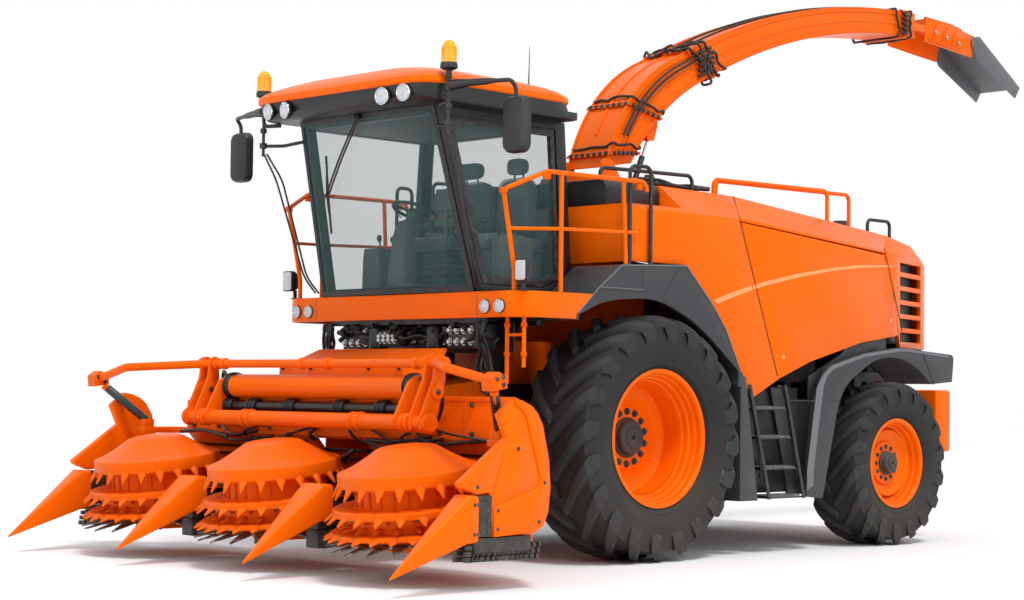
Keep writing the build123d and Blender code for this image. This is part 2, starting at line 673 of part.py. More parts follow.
with BuildPart() as hood_front:
    add(hood_shell & region([(-400, 1000), (-400, 3400), *joint_one]))
    bar((0, turret_y, 2900), (0, turret_y, 3200), turret_hole, Mode.SUBTRACT)
    for sign in (1, -1):
        first, last = ((sign * x, station, z) for x, station, z in service_axis)
        bar(along(first, last, -pin_share), along(first, last, pin_share), service_pin_radius)
save(hood_front, "hood_front")

edge_z = door_axis_drop - door_bead - joint_gap - 2
with BuildPart() as hood_top:
    add(hood_shell & region([*joint_one[:3], *joint_two[:3][::-1]]))
    with BuildSketch(side_plane(-2000)) as below_crease:
        with BuildLine():
            Polyline((900, crease_at(900) - edge_z), (3300, crease_at(3300) - edge_z), (3300, 1000),
                     (900, 1000), close=True)
        make_face()
    extrude(below_crease.sketch, amount=4000, mode=Mode.SUBTRACT)
    add(hood_shell & region([joint_one[2], joint_two[2], on_line(*joint_two[2:4], edge_z),
                             on_line(*joint_one[2:4], edge_z)]))
save(hood_top, "hood_top")

slat_count, slat_pitch, slot_height, slot_low = 6, 128, 88, 1835
with BuildPart() as hood_rear:
    add(hood_shell & region([*joint_two, (4500, 1500), (4500, 3400)]))
    for i in range(slat_count):
        z = slot_low + i * slat_pitch
        for sign in (1, -1):
            with BuildSketch(Plane.XY.offset(z)) as slot:
                with BuildLine():
                    Polyline((sign * 1500, back(3420)), (sign * 1240, back(3420)), (sign * 960, back(4060)),
                             (sign * 1500, back(4060)), close=True)
                make_face()
            extrude(slot.sketch, amount=slot_height, mode=Mode.SUBTRACT)
        block((-930, 930), (hood_end - 100, hood_end + 100), (z, z + slot_height), Mode.SUBTRACT)
    for sign in (1, -1):
        first, last = ((sign * x, station, z) for x, station, z in service_axis)
        bar(along(last, first, -pin_share), along(last, first, pin_share), service_pin_radius)
save(hood_rear, "hood_rear")

for sign, side_name in ((1, "left"), (-1, "right")):
    with BuildPart() as service_door:
        add(hood_shell & region([*shifted(joint_one, joint_gap)[2:],
                                 *shifted(joint_two, -joint_gap)[2:][::-1]]))
        with BuildSketch(side_plane(-2000)) as above_axis:
            with BuildLine():
                Polyline(*[(s, crease_at(s) - door_axis_drop) for s in (900, slope_start, 3400)],
                         (3400, 3400), (900, 3400), close=True)
            make_face()
        extrude(above_axis.sketch, amount=4000, mode=Mode.SUBTRACT)
        block(sorted((sign * 1300, -sign * 2000)), (0, 4500), (0, 4000), Mode.SUBTRACT)
        first, last = ((sign * x, station, z) for x, station, z in service_axis)
        bar(first, last, door_bead)
        for end, stations in ((first, (first[1] - 60, first[1])), (last, (last[1], last[1] + 60))):
            block(sorted((sign * 1300, sign * 1500)), stations, (end[2] - corner_drop, end[2] + 100),
                  Mode.SUBTRACT)
        for end, other in ((first, last), (last, first)):
            bar(along(end, other, -0.01), along(end, other, 1.4 * pin_share),
                service_pin_radius + pin_clearance, Mode.SUBTRACT)
    save(service_door, f"service_door_{side_name}")

with BuildPart() as cooling_pack:
    block((-800, 800), (3450, 4090), (rail_top, 1560))
    block((-950, 950), (3450, 4090), (1560, 2440))
    with BuildSketch(Plane.XY.offset(1740)) as tray:
        with BuildLine():
            Polyline((-1340, back(3440)), (1340, back(3440)), (1095, back(4080)), (1050, back(4190)),
                     (-1050, back(4190)), (-1095, back(4080)), close=True)
        make_face()
    extrude(tray.sketch, amount=40)
save(cooling_pack, "cooling_pack")

with BuildPart() as counterweight:
    prism(side_plane(-1200),
          [(4190, 1400), (4510, 1400), (4530, 1340), (4520, 900), (4460, 815), (4190, 815)], 2400)
    for sign in (1, -1):
        with BuildSketch(Plane.XY.offset(700)) as corner_cut:
            with BuildLine():
                Polyline((sign * 1080, back(4560)), (sign * 1230, back(4400)), (sign * 1230, back(4560)),
                         close=True)
            make_face()
        extrude(corner_cut.sketch, amount=800, mode=Mode.SUBTRACT)
save(counterweight, "counterweight")

with BuildPart() as air_intake:
    block((-1120, 1120), (-300, 340), (step_z, 3050))
    fillet(air_intake.edges().filter_by(Axis.Y).group_by(Axis.Z)[-1], 90)
save(air_intake, "air_intake")

with BuildPart() as exhaust:
    bar((560, 3560, roof_at(3560) + 4), (560, 3560, 2990), 75)
    bar((560, 3560, roof_at(3560) + 0.4), (560, 3560, roof_at(3560) + 16), 95)
    with BuildSketch(side_plane(300)) as under:
        with BuildLine():
            Polyline((3460, 2820), (4120, 2607), (4120, 2500), (3300, 2500), (3300, 2835.1), close=True)
        make_face()
    extrude(under.sketch, amount=600, mode=Mode.SUBTRACT)
save(exhaust, "exhaust")

# ---- rails, ladder and lamps --------------------------------------------------------------
rail_x, rail_tube, post_tube = 1430, 18, 16
ladder_station = -1430


def fender_top_at(station):
    """Height of the front fender's top at a station."""
    (s0, z0), (s1, z1) = front_outline[1:3]
    return z0 + (z1 - z0) * (station - s0) / (s1 - s0)


with BuildPart() as handrails:
    tube([(1285, -1480, floor_z), (1285, -1480, 2250), (1289, -1608, 2850), (rail_x, -1290, 3000),
          (rail_x, -190, 3005), (rail_x, -165, 2930)], rail_tube, 60)
    bar((rail_x, -1130, band_high), (rail_x, -1130, 2995), rail_tube)
    bar((rail_x, -405, fender_top_at(-405) + 3.5), (rail_x, -440, 2995), rail_tube)
    bar((1287, -1546, 2560), (rail_x, -1130, 2575), 14)
    bar((rail_x, -1130, 2575), (rail_x, -245, 2600), 14)
    for x, low, high, top in ((1040, 1113, 2700, 3160), (780, 1450, 3380, 3190)):
        tube([(x, low, roof_at(low) + 2.2), (x, low, top), (x, high, top + 20),
              (x, high, roof_at(high) + 2.2)], rail_tube, 60)
    both_sides()
    for x, foot in ((1165, 1400), (1345, 1520)):  # access ladder under the platform
        bar((x, ladder_station, foot), (x, ladder_station, deck_bottom), 16)
    bar((1165, ladder_station, 1766), (1345, ladder_station, 1766), 12)
save(handrails, "handrails")

with BuildPart() as guard_posts:
    tube([(1394, -322, fender_top_at(-322) + 1), (1394, -322, 3130), (rail_x, -115, 3130),
          (rail_x, -115, fender_top_at(-115) + 1)], post_tube, 60)
    tube([(1000, -250, 3050), (1000, -250, 3150), (1000, 880, 3170), (1000, 880, roof_at(880) + 0.8)],
         post_tube, 60)
    tube([(900, 3510, roof_at(3510) + 5.3), (900, 3510, 2985), (900, 3860, 2985),
          (900, 3860, roof_at(3860) + 5.6)], post_tube, 50)
    both_sides()
save(guard_posts, "guard_posts")

lamp_radius = 52
with BuildPart() as lamps:
    for side in (1, -1):
        for x, station in ((641, -2150), (876, -2120)):  # under the roof's front edge
            bar((side * x, station - 50, roof_z - 52), (side * x, station + 40, roof_z - 52), 50)
            block((side * x - 20, side * x + 20), (station - 20, station + 20), (roof_z - 60, roof_z))
        for x in (1060, 1215):  # in the platform's front
            bar((side * x, band_front - 14, 1980), (side * x, band_front, 1980), lamp_radius)
        block(sorted((side * 1360, side * 1385)), (-1475, -1450), (band_high, 2160))
        block(sorted((side * 1340, side * 1460)), (-1530, -1445), (2160, 2330))
save(lamps, "lamps")

# ---- turret and spout ------------------------------------------------------------------------
cheek_inner = spout_half_width + joint_gap
hinge_pin, cylinder_x = 20, 170
barrel_seat, rod_seat = (1060, 3170), (1250, 3600)  # cylinder pins: on the turret, on the spout
with BuildPart() as turret:
    bar((0, turret_y, turret_low + 0.5), (0, turret_y, turret_high), turret_radius)
    bar((0, turret_y, turret_low - 10), (0, turret_y, turret_high + 10), turret_bore, Mode.SUBTRACT)
    for side in (1, -1):
        prism(side_plane(side * (cheek_inner + 10) - 10),
              [(560, turret_high - 60), (560, 3310), (600, 3350), (680, 3350), (720, 3310),
               (840, turret_high - 60)], 20)
        bar((side * (spout_half_width - spout_plate + joint_gap), *spout_hinge),
            (side * (cheek_inner + 10), *spout_hinge), hinge_pin)
        for lug_side in (-44, 32):
            x = side * cylinder_x + lug_side
            prism(side_plane(x), [(900, turret_high - 90), (900, turret_high), (1010, turret_high + 20),
                                  (1095, turret_high + 20), (1095, turret_high - 70)], 12)
        bar((side * cylinder_x - 44, *barrel_seat), (side * cylinder_x + 44, *barrel_seat), 12)
    bar((0, turret_y, turret_low - 10), (0, turret_y, turret_high - 0.1), turret_bore, Mode.SUBTRACT)
save(turret, "turret")

# side outline of the spout: outer edge and inner edge, each two arcs through three points
outer_low, outer_high = [(650, 3290), (920, 3850), (1560, 4340)], [(1560, 4340), (3160, 4950), (5240, 5230)]
inner_low, inner_high = [(960, 3340), (1320, 3770), (1900, 4165)], [(1900, 4165), (3500, 4770), (5240, 5000)]


def arc_centre(points):
    """The centre of the circle through three points."""
    (ax, ay), (bx, by), (cx, cy) = points
    d = 2 * (ax * (by - cy) + bx * (cy - ay) + cx * (ay - by))
    a2, b2, c2 = ax * ax + ay * ay, bx * bx + by * by, cx * cx + cy * cy
    return ((a2 * (by - cy) + b2 * (cy - ay) + c2 * (ay - by)) / d,
            (a2 * (cx - bx) + b2 * (ax - cx) + c2 * (bx - ax)) / d)


def moved_arcs(low, high, amount):
    """The two arcs moved towards their centres by amount (away from them if negative)."""
    moved = []
    for points in (low, high):
        cx, cy = arc_centre(points)
        shares = [amount / hypot(cx - x, cy - y) for x, y in points]
        moved.append([(x + (cx - x) * share, y + (cy - y) * share) for (x, y), share in zip(points, shares)])
    joint = tuple((a + b) / 2 for a, b in zip(moved[0][2], moved[1][0]))
    moved[0][2] = moved[1][0] = joint
    return moved


def strip(plane, edge_a, edge_b, depth):
    """Adds a plate between two curved edges, drawn out by depth."""
    with BuildSketch(plane) as outline:
        with BuildLine():
            ThreePointArc(*edge_a[0])
            ThreePointArc(*edge_a[1])
            Line(edge_a[1][2], edge_b[1][2])
            ThreePointArc(*edge_b[1][::-1])
            ThreePointArc(*edge_b[0][::-1])
            Line(edge_b[0][0], edge_a[0][0])
        make_face()
    extrude(outline.sketch, amount=depth)


outer_edge, inner_edge = (outer_low, outer_high), (inner_low, inner_high)
outer_inside, inner_inside = moved_arcs(*outer_edge, spout_plate), moved_arcs(*inner_edge, -spout_plate)
inner_width = spout_half_width - spout_plate
with BuildPart() as spout_top_plate:
    strip(side_plane(-inner_width), outer_edge, outer_inside, 2 * inner_width)
save(spout_top_plate, "spout_top_plate")
with BuildPart() as spout_floor_plate:
    strip(side_plane(-inner_width), inner_inside, inner_edge, 2 * inner_width)
    for side in (1, -1):
        for lug_side in (-30, 18):
            x = side * cylinder_x + lug_side
            prism(side_plane(x), [(1186, 3630), (1210, 3570), (1290, 3570), (1336, 3700), (1336, 3796)], 12)
        bar((side * cylinder_x - 30, *rod_seat), (side * cylinder_x + 30, *rod_seat), 8)
save(spout_floor_plate, "spout_floor_plate")

deflector_pin, plate_middle, ear_outer = 12, spout_half_width - spout_plate / 2, cheek_inner + 14
with BuildPart() as spout_sides:
    for side in (1, -1):
        strip(side_plane(side * plate_middle - spout_plate / 2), outer_edge, inner_edge, spout_plate)
        bar((side * inner_width, *spout_hinge), (side * spout_half_width, *spout_hinge), 55)
        bar((side * (inner_width - 1), *spout_hinge), (side * (spout_half_width + 1), *spout_hinge),
            hinge_pin + pin_clearance, Mode.SUBTRACT)
        block(sorted((side * spout_half_width, side * ear_outer)), (5140, 5230), (5070, 5150))
        block(sorted((side * cheek_inner, side * ear_outer)), (5140, 5375), (5075, 5145))
        bar((side * inner_width, *deflector_hinge), (side * ear_outer, *deflector_hinge), deflector_pin)
save(spout_sides, "spout_sides")

with BuildPart() as deflector:
    outline = [(5440, 5225), (5910, 5210), (6340, 5150), (6290, 4925), (5920, 4950), (5415, 4990)]
    prism(side_plane(-spout_half_width), outline, 2 * spout_half_width)
    with BuildSketch(side_plane(-inner_width)) as channel:
        with BuildLine():
            Polyline((5300, 5209), (5440, 5209), (5910, 5194), (6400, 5126), (6400, 4800), (5300, 4800),
                     close=True)
        make_face()
    extrude(channel.sketch, amount=2 * inner_width, mode=Mode.SUBTRACT)
    for side in (1, -1):
        x = side * plate_middle
        block((x - 8, x + 8), (5325, 5450), (5080, 5140))
        bar((x - 8, *deflector_hinge), (x + 8, *deflector_hinge), 30)
        bar((x - 9, *deflector_hinge), (x + 9, *deflector_hinge), deflector_pin + pin_clearance,
            Mode.SUBTRACT)
        bar((side * inner_width, *flap_hinge), (side * ear_outer, *flap_hinge), deflector_pin)
save(deflector, "deflector")

with BuildPart() as end_flap:
    for side in (1, -1):
        x = side * (cheek_inner + 7) - 7
        prism(side_plane(x), [(6255, 5060), (6255, 5110), (6290, 5130), (6400, 5160), (7190, 4700),
                              (7100, 4580), (6380, 4890)], 14)
        bar((x - 1, *flap_hinge), (x + 15, *flap_hinge), deflector_pin + pin_clearance, Mode.SUBTRACT)
    prism(side_plane(-ear_outer), [(6400, 5160), (6390, 5145), (7178, 4686), (7190, 4700)], 2 * ear_outer)
save(end_flap, "end_flap")


def cylinder_parts(x, seat, rod_end, barrel_radius, rod_radius, barrel_length, rod_inside, eye_half, pin,
                   rod_eye_bore):
    """The barrel and the rod of a lift cylinder between two pins (station, height), as two solids."""
    length = hypot(rod_end[0] - seat[0], rod_end[1] - seat[1])
    towards = [(rod_end[0] - seat[0]) / length, (rod_end[1] - seat[1]) / length]

    def at(distance):
        return (x, seat[0] + towards[0] * distance, seat[1] + towards[1] * distance)

    eye = pin + 16
    with BuildPart(mode=Mode.PRIVATE) as barrel:
        bar((x - eye_half, *seat), (x + eye_half, *seat), eye)
        bar(at(pin + 4), at(barrel_length), barrel_radius)
        bar((x - eye_half - 50, *seat), (x + eye_half + 50, *seat), pin + pin_clearance, Mode.SUBTRACT)
        bar(at(eye + 12), at(barrel_length + 5), rod_radius + pin_clearance, Mode.SUBTRACT)
    with BuildPart(mode=Mode.PRIVATE) as rod:
        bar(at(rod_inside), at(length - rod_eye_bore - 4), rod_radius)
        bar((x - eye_half, *rod_end), (x + eye_half, *rod_end), rod_eye_bore + 12)
        bar((x - eye_half - 50, *rod_end), (x + eye_half + 50, *rod_end), rod_eye_bore, Mode.SUBTRACT)
    return barrel.part, rod.part


spout_cylinders = [cylinder_parts(side * cylinder_x, barrel_seat, rod_seat, 26, 13, 275, 205, 12, 12, 17)
                   for side in (1, -1)]
with BuildPart() as spout_barrels:
    add(spout_cylinders[0][0])
    add(spout_cylinders[1][0])
save(spout_barrels, "spout_barrels")
with BuildPart() as spout_rods:
    add(spout_cylinders[0][1])
    add(spout_cylinders[1][1])
save(spout_rods, "spout_rods")

# ---- feeder, header and rotors ------------------------------------------------------------------
feeder_front = -1950
feeder_outline = [(-640, 1080), (-640, 1460), (feeder_front, 1300), (feeder_front, 420)]
feeder_inside = [(-600, 1110), (-600, 1430), (feeder_front - 10, 1270), (feeder_front - 10, 455)]
with BuildPart() as feeder_house:
    prism(side_plane(-feeder_half), feeder_outline, 2 * feeder_half)
    with BuildSketch(side_plane(-feeder_half + feeder_wall)) as inside:
        with BuildLine():
            Polyline(*feeder_inside, close=True)
        make_face()
    extrude(inside.sketch, amount=2 * (feeder_half - feeder_wall), mode=Mode.SUBTRACT)
    for side in (1, -1):
        for lug_side in (-48, 34):
            prism(side_plane(side * header_cylinder_x + lug_side),
                  [(-1600, 610), (-1540, 525), (-1460, 525), (-1380, 720)], 14)
        bar((side * header_cylinder_x - 48, *rod_low), (side * header_cylinder_x + 48, *rod_low), 15)
        bar((side * (feeder_half - feeder_wall - 1), *lift_axis), (side * (feeder_half + 1), *lift_axis),
            lift_pin_radius + pin_clearance, Mode.SUBTRACT)
save(feeder_house, "feeder_house")

header_cylinders = [
    cylinder_parts(side * header_cylinder_x, barrel_low, rod_low, 48, 27, 800, 560, 24, 20, 19)
    for side in (1, -1)
]
with BuildPart() as header_barrels:
    add(header_cylinders[0][0])
    add(header_cylinders[1][0])
save(header_barrels, "header_barrels")
with BuildPart() as header_rods:
    add(header_cylinders[0][1])
    add(header_cylinders[1][1])
save(header_rods, "header_rods")

wall_half = 1980
wall_outline = [(-1950, 230), (-1950, 1300), (-2110, 1300), (-2110, 980), (wall_station, 850),
                (wall_station, 230)]
side_plate_x, tube_station = 1130, -2290
rotor_axis = (0, -sin(radians(rotor_tilt)), cos(radians(rotor_tilt)))
post_radius, post_top, shaft_radius, shaft_top = 200, 300, 45, 425


def rotor_plane(x):
    """A rotor's own plane at its lower disc, its Z along the tilted axis."""
    return Plane(origin=(x, back(rotor_station), rotor_base_z), x_dir=(1, 0, 0), z_dir=rotor_axis)


def rotor_disc(x, radius, low, high, mode=Mode.ADD):
    """Adds a round piece about a rotor's axis between two heights above its lower disc."""
    with BuildSketch(rotor_plane(x).offset(low)) as ring:
        Circle(radius)
    extrude(ring.sketch, amount=high - low, mode=mode)


rotor_x = (rotor_spacing, 0, -rotor_spacing)
with BuildPart() as header_frame:
    prism(side_plane(-wall_half), wall_outline, 2 * wall_half)
    with BuildSketch(side_plane(-wall_half + 40)) as hollow:
        with BuildLine():
            Polyline((-1940, 300), (-1940, 1260), (-2080, 1260), (-2080, 1000), (-1960, 870), (-1960, 300),
                     close=True)
        make_face()
    extrude(hollow.sketch, amount=2 * (wall_half - 40), mode=Mode.SUBTRACT)
    for side in (1, -1):
        with BuildSketch(Plane.XZ.offset(-back(-1900))) as corner_cut:
            with BuildLine():
                Polyline((side * 1790, 1301), (side * (wall_half + 1), 1230), (side * (wall_half + 1), 1301),
                         close=True)
            make_face()
        extrude(corner_cut.sketch, amount=250, mode=Mode.SUBTRACT)
    block((-wall_half, wall_half), (-2260, wall_station), (210, 250))
    block((-310, 310), (-2200, -1900), (460, 960), Mode.SUBTRACT)
    for x in rotor_x:
        block((x - 130, x + 130), (-2780, -2200), (215, 250))
        rotor_disc(x, post_radius, -150, post_top)
        rotor_disc(x, shaft_radius, post_top, shaft_top)
    block((-750, 750), (-2100, -1950), (1300, 1560))
    block((-750, 750), (-1950, -1700), (1360, 1560))
    prism(side_plane(-750), [(-1950, 1560), (-1700, 1560), (-1665, 1660), (-1700, 1660)], 1500)
    for side in (1, -1):
        prism(side_plane(side * (side_plate_x + 15) - 15),
              [(-2100, 1000), (-2100, 1440), (-2250, 1470), (-2400, 1400), (-2540, 1130), (-2500, 1060),
               (-2110, 1010)], 30)
        block(sorted((side * 700, side * 820)), (-2930, -1960), (250, 330))
        block(sorted((side * 2190, side * 2260)), (-2720, -2240), (250, 420))
        block(sorted((side * 2060, side * 2180)), (-2480, -2150), (960, 1010))
        block(sorted((side * 1940, side * 2180)), (-2200, -2090), (960, 1010))
        block(sorted((side * 2240, side * 2280)), (-2500, -2110), (520, 860))
        block(sorted((side * 2240, side * 2280)), (-2500, -2240), (400, 520))
        block(sorted((side * 1965, side * 2280)), (-2200, -2110), (520, 860))
        block(sorted((side * 1965, side * wall_half)), (-2120, -1970), (520, 860))
    bar((-side_plate_x, tube_station, 1360), (side_plate_x, tube_station, 1360), 92)
    bar((-side_plate_x, -2317, 1200), (side_plate_x, -2317, 1200), 38)
    bar((-1250, -2465, 1109), (1250, -2465, 1109), 58)
save(header_frame, "header_frame")

upper_z, lower_z = 1536, 1109
with BuildPart() as guard_tube:
    tube([(0, -2336, upper_z), (1360, -2336, upper_z), (1930, -2760, 1500), (2380, -2725, 1405)], 33, 90)
    for x in (1290, 1400):
        prism(side_plane(x), [(-2520, 1060), (-2520, 1160), (-2400, 1420), (-2380, 1570), (-2300, 1570),
                              (-2290, 1420), (-2400, 1060)], 24)
    bar((1251, -2465, lower_z), (1424, -2465, lower_z), 50)
    prism(side_plane(2330), [(-2790, 1340), (-2800, 1430), (-2740, 1470), (-2660, 1440), (-2660, 1360)], 110)
    bar((2350, -2700, 1350), (2120, -2420, 1060), 30)
    block((2070, 2170), (-2470, -2380), (1010, 1075))
    both_sides()
save(guard_tube, "guard_tube")

tip_station, tip_z, cone_base = -3580, 122, -2960
cone_table = [  # middle x, tip x, half width at the base, base low, base high
    (760, 776, 130, 400, 670), (2325, 2327, 85, 330, 660),
]
with BuildPart() as crop_dividers:
    for middle_x, tip_x, half, low, high in cone_table:
        cone_faces = []
        for station, x, half_low, half_high, z_low, z_high in (
                (cone_base, middle_x, half, half * 0.7, low, high),
                (tip_station, tip_x, 9, 7, tip_z, tip_z + 18)):
            with BuildSketch(Plane.XZ.offset(-back(station))) as section:
                with BuildLine():
                    Polyline((x - half_low, z_low), (x + half_low, z_low), (x + half_high, z_high),
                             (x - half_high, z_high), close=True)
                make_face()
            cone_faces.append(section.sketch)
        loft(cone_faces, ruled=True)
    block((700, 820), (-2960, -2860), (400, 600))
    block((700, 820), (-2930, -2860), (330, 400))
    block((2240, 2400), (-2960, -2860), (330, 655))
    block((2262, 2360), (-2860, -2700), (370, 640))
    shield = [(-2698, 369), (-2311, 384), (-2230, 425), (-2185, 520), (-2166, 680), (-2181, 870),
              (-2245, 1114), (-2299, 1199), (-2359, 1248), (-2445, 1281), (-2522, 1292), (-2649, 1187),
              (-2576, 1031), (-3005, 735), (-2990, 700), (-2858, 654), (-2733, 665)]
    prism(side_plane(2300), shield, 70)
    block((2280.2, 2300), (-2480, -2300), (420, 880))
    both_sides()
save(crop_dividers, "crop_dividers")

# rotor half section: (radius, height above the lower disc)
disc_half, cover_low, cover_rim, cover_top = 7, 325, 405, 580
rotor_section = [
    (drum_bore, -85), (disc_radius - 30, -85), (disc_radius - 30, -71), (430, -71), (430, -disc_half),
    (disc_radius, -disc_half), (disc_radius, disc_half), (430, disc_half), (430, 153), (disc_radius, 153),
    (disc_radius, 167), (drum_radius, 167), (drum_radius, 290), (cover_radius, cover_low),
    (cover_radius, cover_rim), (250, 555), (220, cover_top), (0, cover_top), (0, shaft_top + 12),
    (shaft_radius + pin_clearance, shaft_top + 12),
    (shaft_radius + pin_clearance, post_top + 20), (drum_bore, post_top + 20),
]
for x, rotor_name in zip(rotor_x, ("left", "middle", "right")):
    plane = rotor_plane(x)
    with BuildPart() as rotor:
        section = Plane(origin=plane.origin, x_dir=plane.x_dir, z_dir=-plane.y_dir)
        with BuildSketch(section) as half_section:
            with BuildLine():
                Polyline(*rotor_section, close=True)
            make_face()
        revolve(half_section.sketch, axis=Axis(plane.origin, plane.z_dir))
    save(rotor, f"rotor_{rotor_name}")
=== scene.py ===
# %% [markdown]
# # A forage harvester, dressed piece by piece
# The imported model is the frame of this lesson: it fixes every size, every place and every joint.
# This script loads it, gives each node its finish, and adds the pieces that are too fine for the
# frame, such as tyre lugs, cutting teeth, bolts, hoses and seat covers. All lengths are metres,
# +X is the machine's left side, -Y is forward and +Z is up.

# %% Load the frame
import json
from math import atan2, cos, hypot, pi, radians, sin
from random import choice, seed, uniform

import bmesh
import bpy
from mathutils import Matrix, Vector

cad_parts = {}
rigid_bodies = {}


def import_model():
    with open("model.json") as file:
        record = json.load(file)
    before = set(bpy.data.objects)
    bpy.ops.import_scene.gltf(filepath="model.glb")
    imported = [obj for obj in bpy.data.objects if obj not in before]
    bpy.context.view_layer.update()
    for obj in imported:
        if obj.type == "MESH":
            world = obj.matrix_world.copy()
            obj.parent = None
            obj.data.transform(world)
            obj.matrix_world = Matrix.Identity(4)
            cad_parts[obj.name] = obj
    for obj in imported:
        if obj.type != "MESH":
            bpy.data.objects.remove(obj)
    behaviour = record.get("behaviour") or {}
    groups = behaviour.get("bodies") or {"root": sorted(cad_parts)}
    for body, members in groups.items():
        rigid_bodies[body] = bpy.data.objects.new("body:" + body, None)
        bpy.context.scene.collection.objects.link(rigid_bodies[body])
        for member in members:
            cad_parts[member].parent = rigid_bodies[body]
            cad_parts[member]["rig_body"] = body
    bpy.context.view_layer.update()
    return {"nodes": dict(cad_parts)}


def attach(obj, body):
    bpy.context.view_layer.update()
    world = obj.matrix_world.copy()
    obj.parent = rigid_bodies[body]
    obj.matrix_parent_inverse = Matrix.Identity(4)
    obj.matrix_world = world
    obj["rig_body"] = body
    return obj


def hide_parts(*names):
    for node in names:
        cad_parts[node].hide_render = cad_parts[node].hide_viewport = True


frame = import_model()

# %% [markdown]
# ## Places along the machine
# A mechanic measures a chassis from an axle, not from the middle of the machine, so stations are
# metres behind the front axle. One small function turns a station into the frame's Y.

# %% Stations
FRONT_AXLE_Y = -1.81
WHEELBASE = 3.2


def back(station):
    """The frame's Y of a station measured back from the front axle."""
    return FRONT_AXLE_Y + station


def at(x, station, z):
    """A point given by x, station and height."""
    return Vector((x, back(station), z))


def placed(x, station, z):
    """A matrix that moves a form from the origin to a point."""
    return Matrix.Translation(at(x, station, z))


def line_at(x, line):
    """The points of a side line of (station, height) at one x."""
    return [at(x, station, z) for station, z in line]


# %% [markdown]
# ## Forms
# Every added piece is first a form, which is only a list of points and a list of faces. Forms are
# easy to move, copy and merge before they become a mesh, so one piece can hold a bracket, its
# bolts and its hose without any joining of objects.

# %% Extruded, turned and swept forms
ORIGIN, Z_UP = (0, 0, 0), (0, 0, 1)
LEFT, RIGHT, AHEAD = (1, 0, 0), (-1, 0, 0), (0, -1, 0)


def band(low, high, count):
    """The faces between two rings of points, given by the number of each ring's first point."""
    return [[low + i, low + (i + 1) % count, high + (i + 1) % count, high + i] for i in range(count)]


def extruded(outline, depth):
    """A closed outline of points drawn out along a depth vector."""
    depth = Vector(depth)
    points = [Vector(p) for p in outline]
    count = len(points)
    faces = [list(range(count))[::-1], [count + i for i in range(count)]]
    return points + [p + depth for p in points], faces + band(0, count, count)


def side_form(outline, x_low, x_high):
    """A side outline of (station, height) drawn out across the machine."""
    return extruded(line_at(x_low, outline), (x_high - x_low, 0, 0))


def block(x, stations, heights):
    """A box between two x, two stations and two heights."""
    (s0, s1), (z0, z1) = stations, heights
    return side_form([(s0, z0), (s1, z0), (s1, z1), (s0, z1)], *x)


def blocks(*spans):
    """Several such boxes, each given by its x, its stations and its heights."""
    return [block(*span) for span in spans]


def cuboid(x, y, z):
    """A box between two x, two y and two z in a form's own axes."""
    return extruded([(x[0], y[0], z[0]), (x[0], y[1], z[0]), (x[0], y[1], z[1]), (x[0], y[0], z[1])],
                    (x[1] - x[0], 0, 0))


def axes_for(direction):
    """Two directions square to one another and to the given one."""
    along = Vector(direction).normalized()
    side = Vector((0, 0, 1)) if abs(along.z) < 0.9 else Vector((1, 0, 0))
    across = side.cross(along).normalized()
    return along, across, along.cross(across)


def on_circle(across, up, angle):
    """The direction at an angle between two directions square to one another."""
    return across * cos(angle) + up * sin(angle)


def turned(profile, centre=ORIGIN, direction=Z_UP, steps=64):
    """A profile of (distance along the axis, radius) turned about that axis."""
    along, across, up = axes_for(direction)
    centre, points, index = Vector(centre), [], []
    for distance, radius in profile:
        if radius < 1e-6:
            index.append([len(points)] * steps)
            points.append(centre + along * distance)
            continue
        index.append([len(points) + i for i in range(steps)])
        points += [centre + along * distance + on_circle(across, up, 2 * pi * i / steps) * radius
                   for i in range(steps)]
    faces = []
    for low, high in zip(index, index[1:]):
        for i in range(steps):
            j = (i + 1) % steps
            corners = list(dict.fromkeys((low[i], low[j], high[j], high[i])))
            if len(corners) > 2:
                faces.append(corners)
    return points, faces


def drum(radius, low, high):
    """The profile of a plain round bar between two distances along its axis."""
    return [(low, 0), (low, radius), (high, radius), (high, 0)]


def disc_form(centre, direction, radius, thickness, edge, steps):
    """A round plate with a small chamfer, from its centre along its axis."""
    profile = [(0, 0), (0, radius - edge), (edge, radius), (thickness - edge, radius),
               (thickness, radius - edge), (thickness, 0)]
    return turned(profile, centre, direction, steps)


def rounded_route(points, bend, steps=5):
    """A polyline with each corner replaced by a short smooth curve."""
    points = [Vector(p) for p in points]
    route = [points[0]]
    for before, corner, after in zip(points, points[1:], points[2:]):
        reach = min(bend, (corner - before).length * 0.45, (after - corner).length * 0.45)
        first = corner + (before - corner).normalized() * reach
        last = corner + (after - corner).normalized() * reach
        for i in range(steps + 1):
            t = i / steps
            route.append(first * (1 - t) ** 2 + corner * 2 * t * (1 - t) + last * t * t)
    return route + [points[-1]]


def tube(points, radius, bend, sides):
    """A round bar along a route, closed at both ends; its radius is a number or a rule of the share."""
    route = rounded_route(points, bend)
    _, across, up = axes_for(route[1] - route[0])
    verts, faces = [], []
    for k, place in enumerate(route):
        ahead = route[min(k + 1, len(route) - 1)] - route[max(k - 1, 0)]
        ahead.normalize()
        across = (across - ahead * across.dot(ahead)).normalized()
        up = ahead.cross(across)
        size = radius(k / (len(route) - 1)) if callable(radius) else radius
        verts += [place + on_circle(across, up, 2 * pi * i / sides) * size for i in range(sides)]
        if k:
            faces += band((k - 1) * sides, k * sides, sides)
    faces.append(list(range(sides))[::-1])
    faces.append([len(verts) - sides + i for i in range(sides)])
    return verts, faces


def moved(form, matrix):
    """A copy of a form, moved by a matrix."""
    return [matrix @ Vector(p) for p in form[0]], form[1]


def mirrored(form):
    """The form for the other side of the machine."""
    return [Vector((-p[0], p[1], p[2])) for p in form[0]], [face[::-1] for face in form[1]]


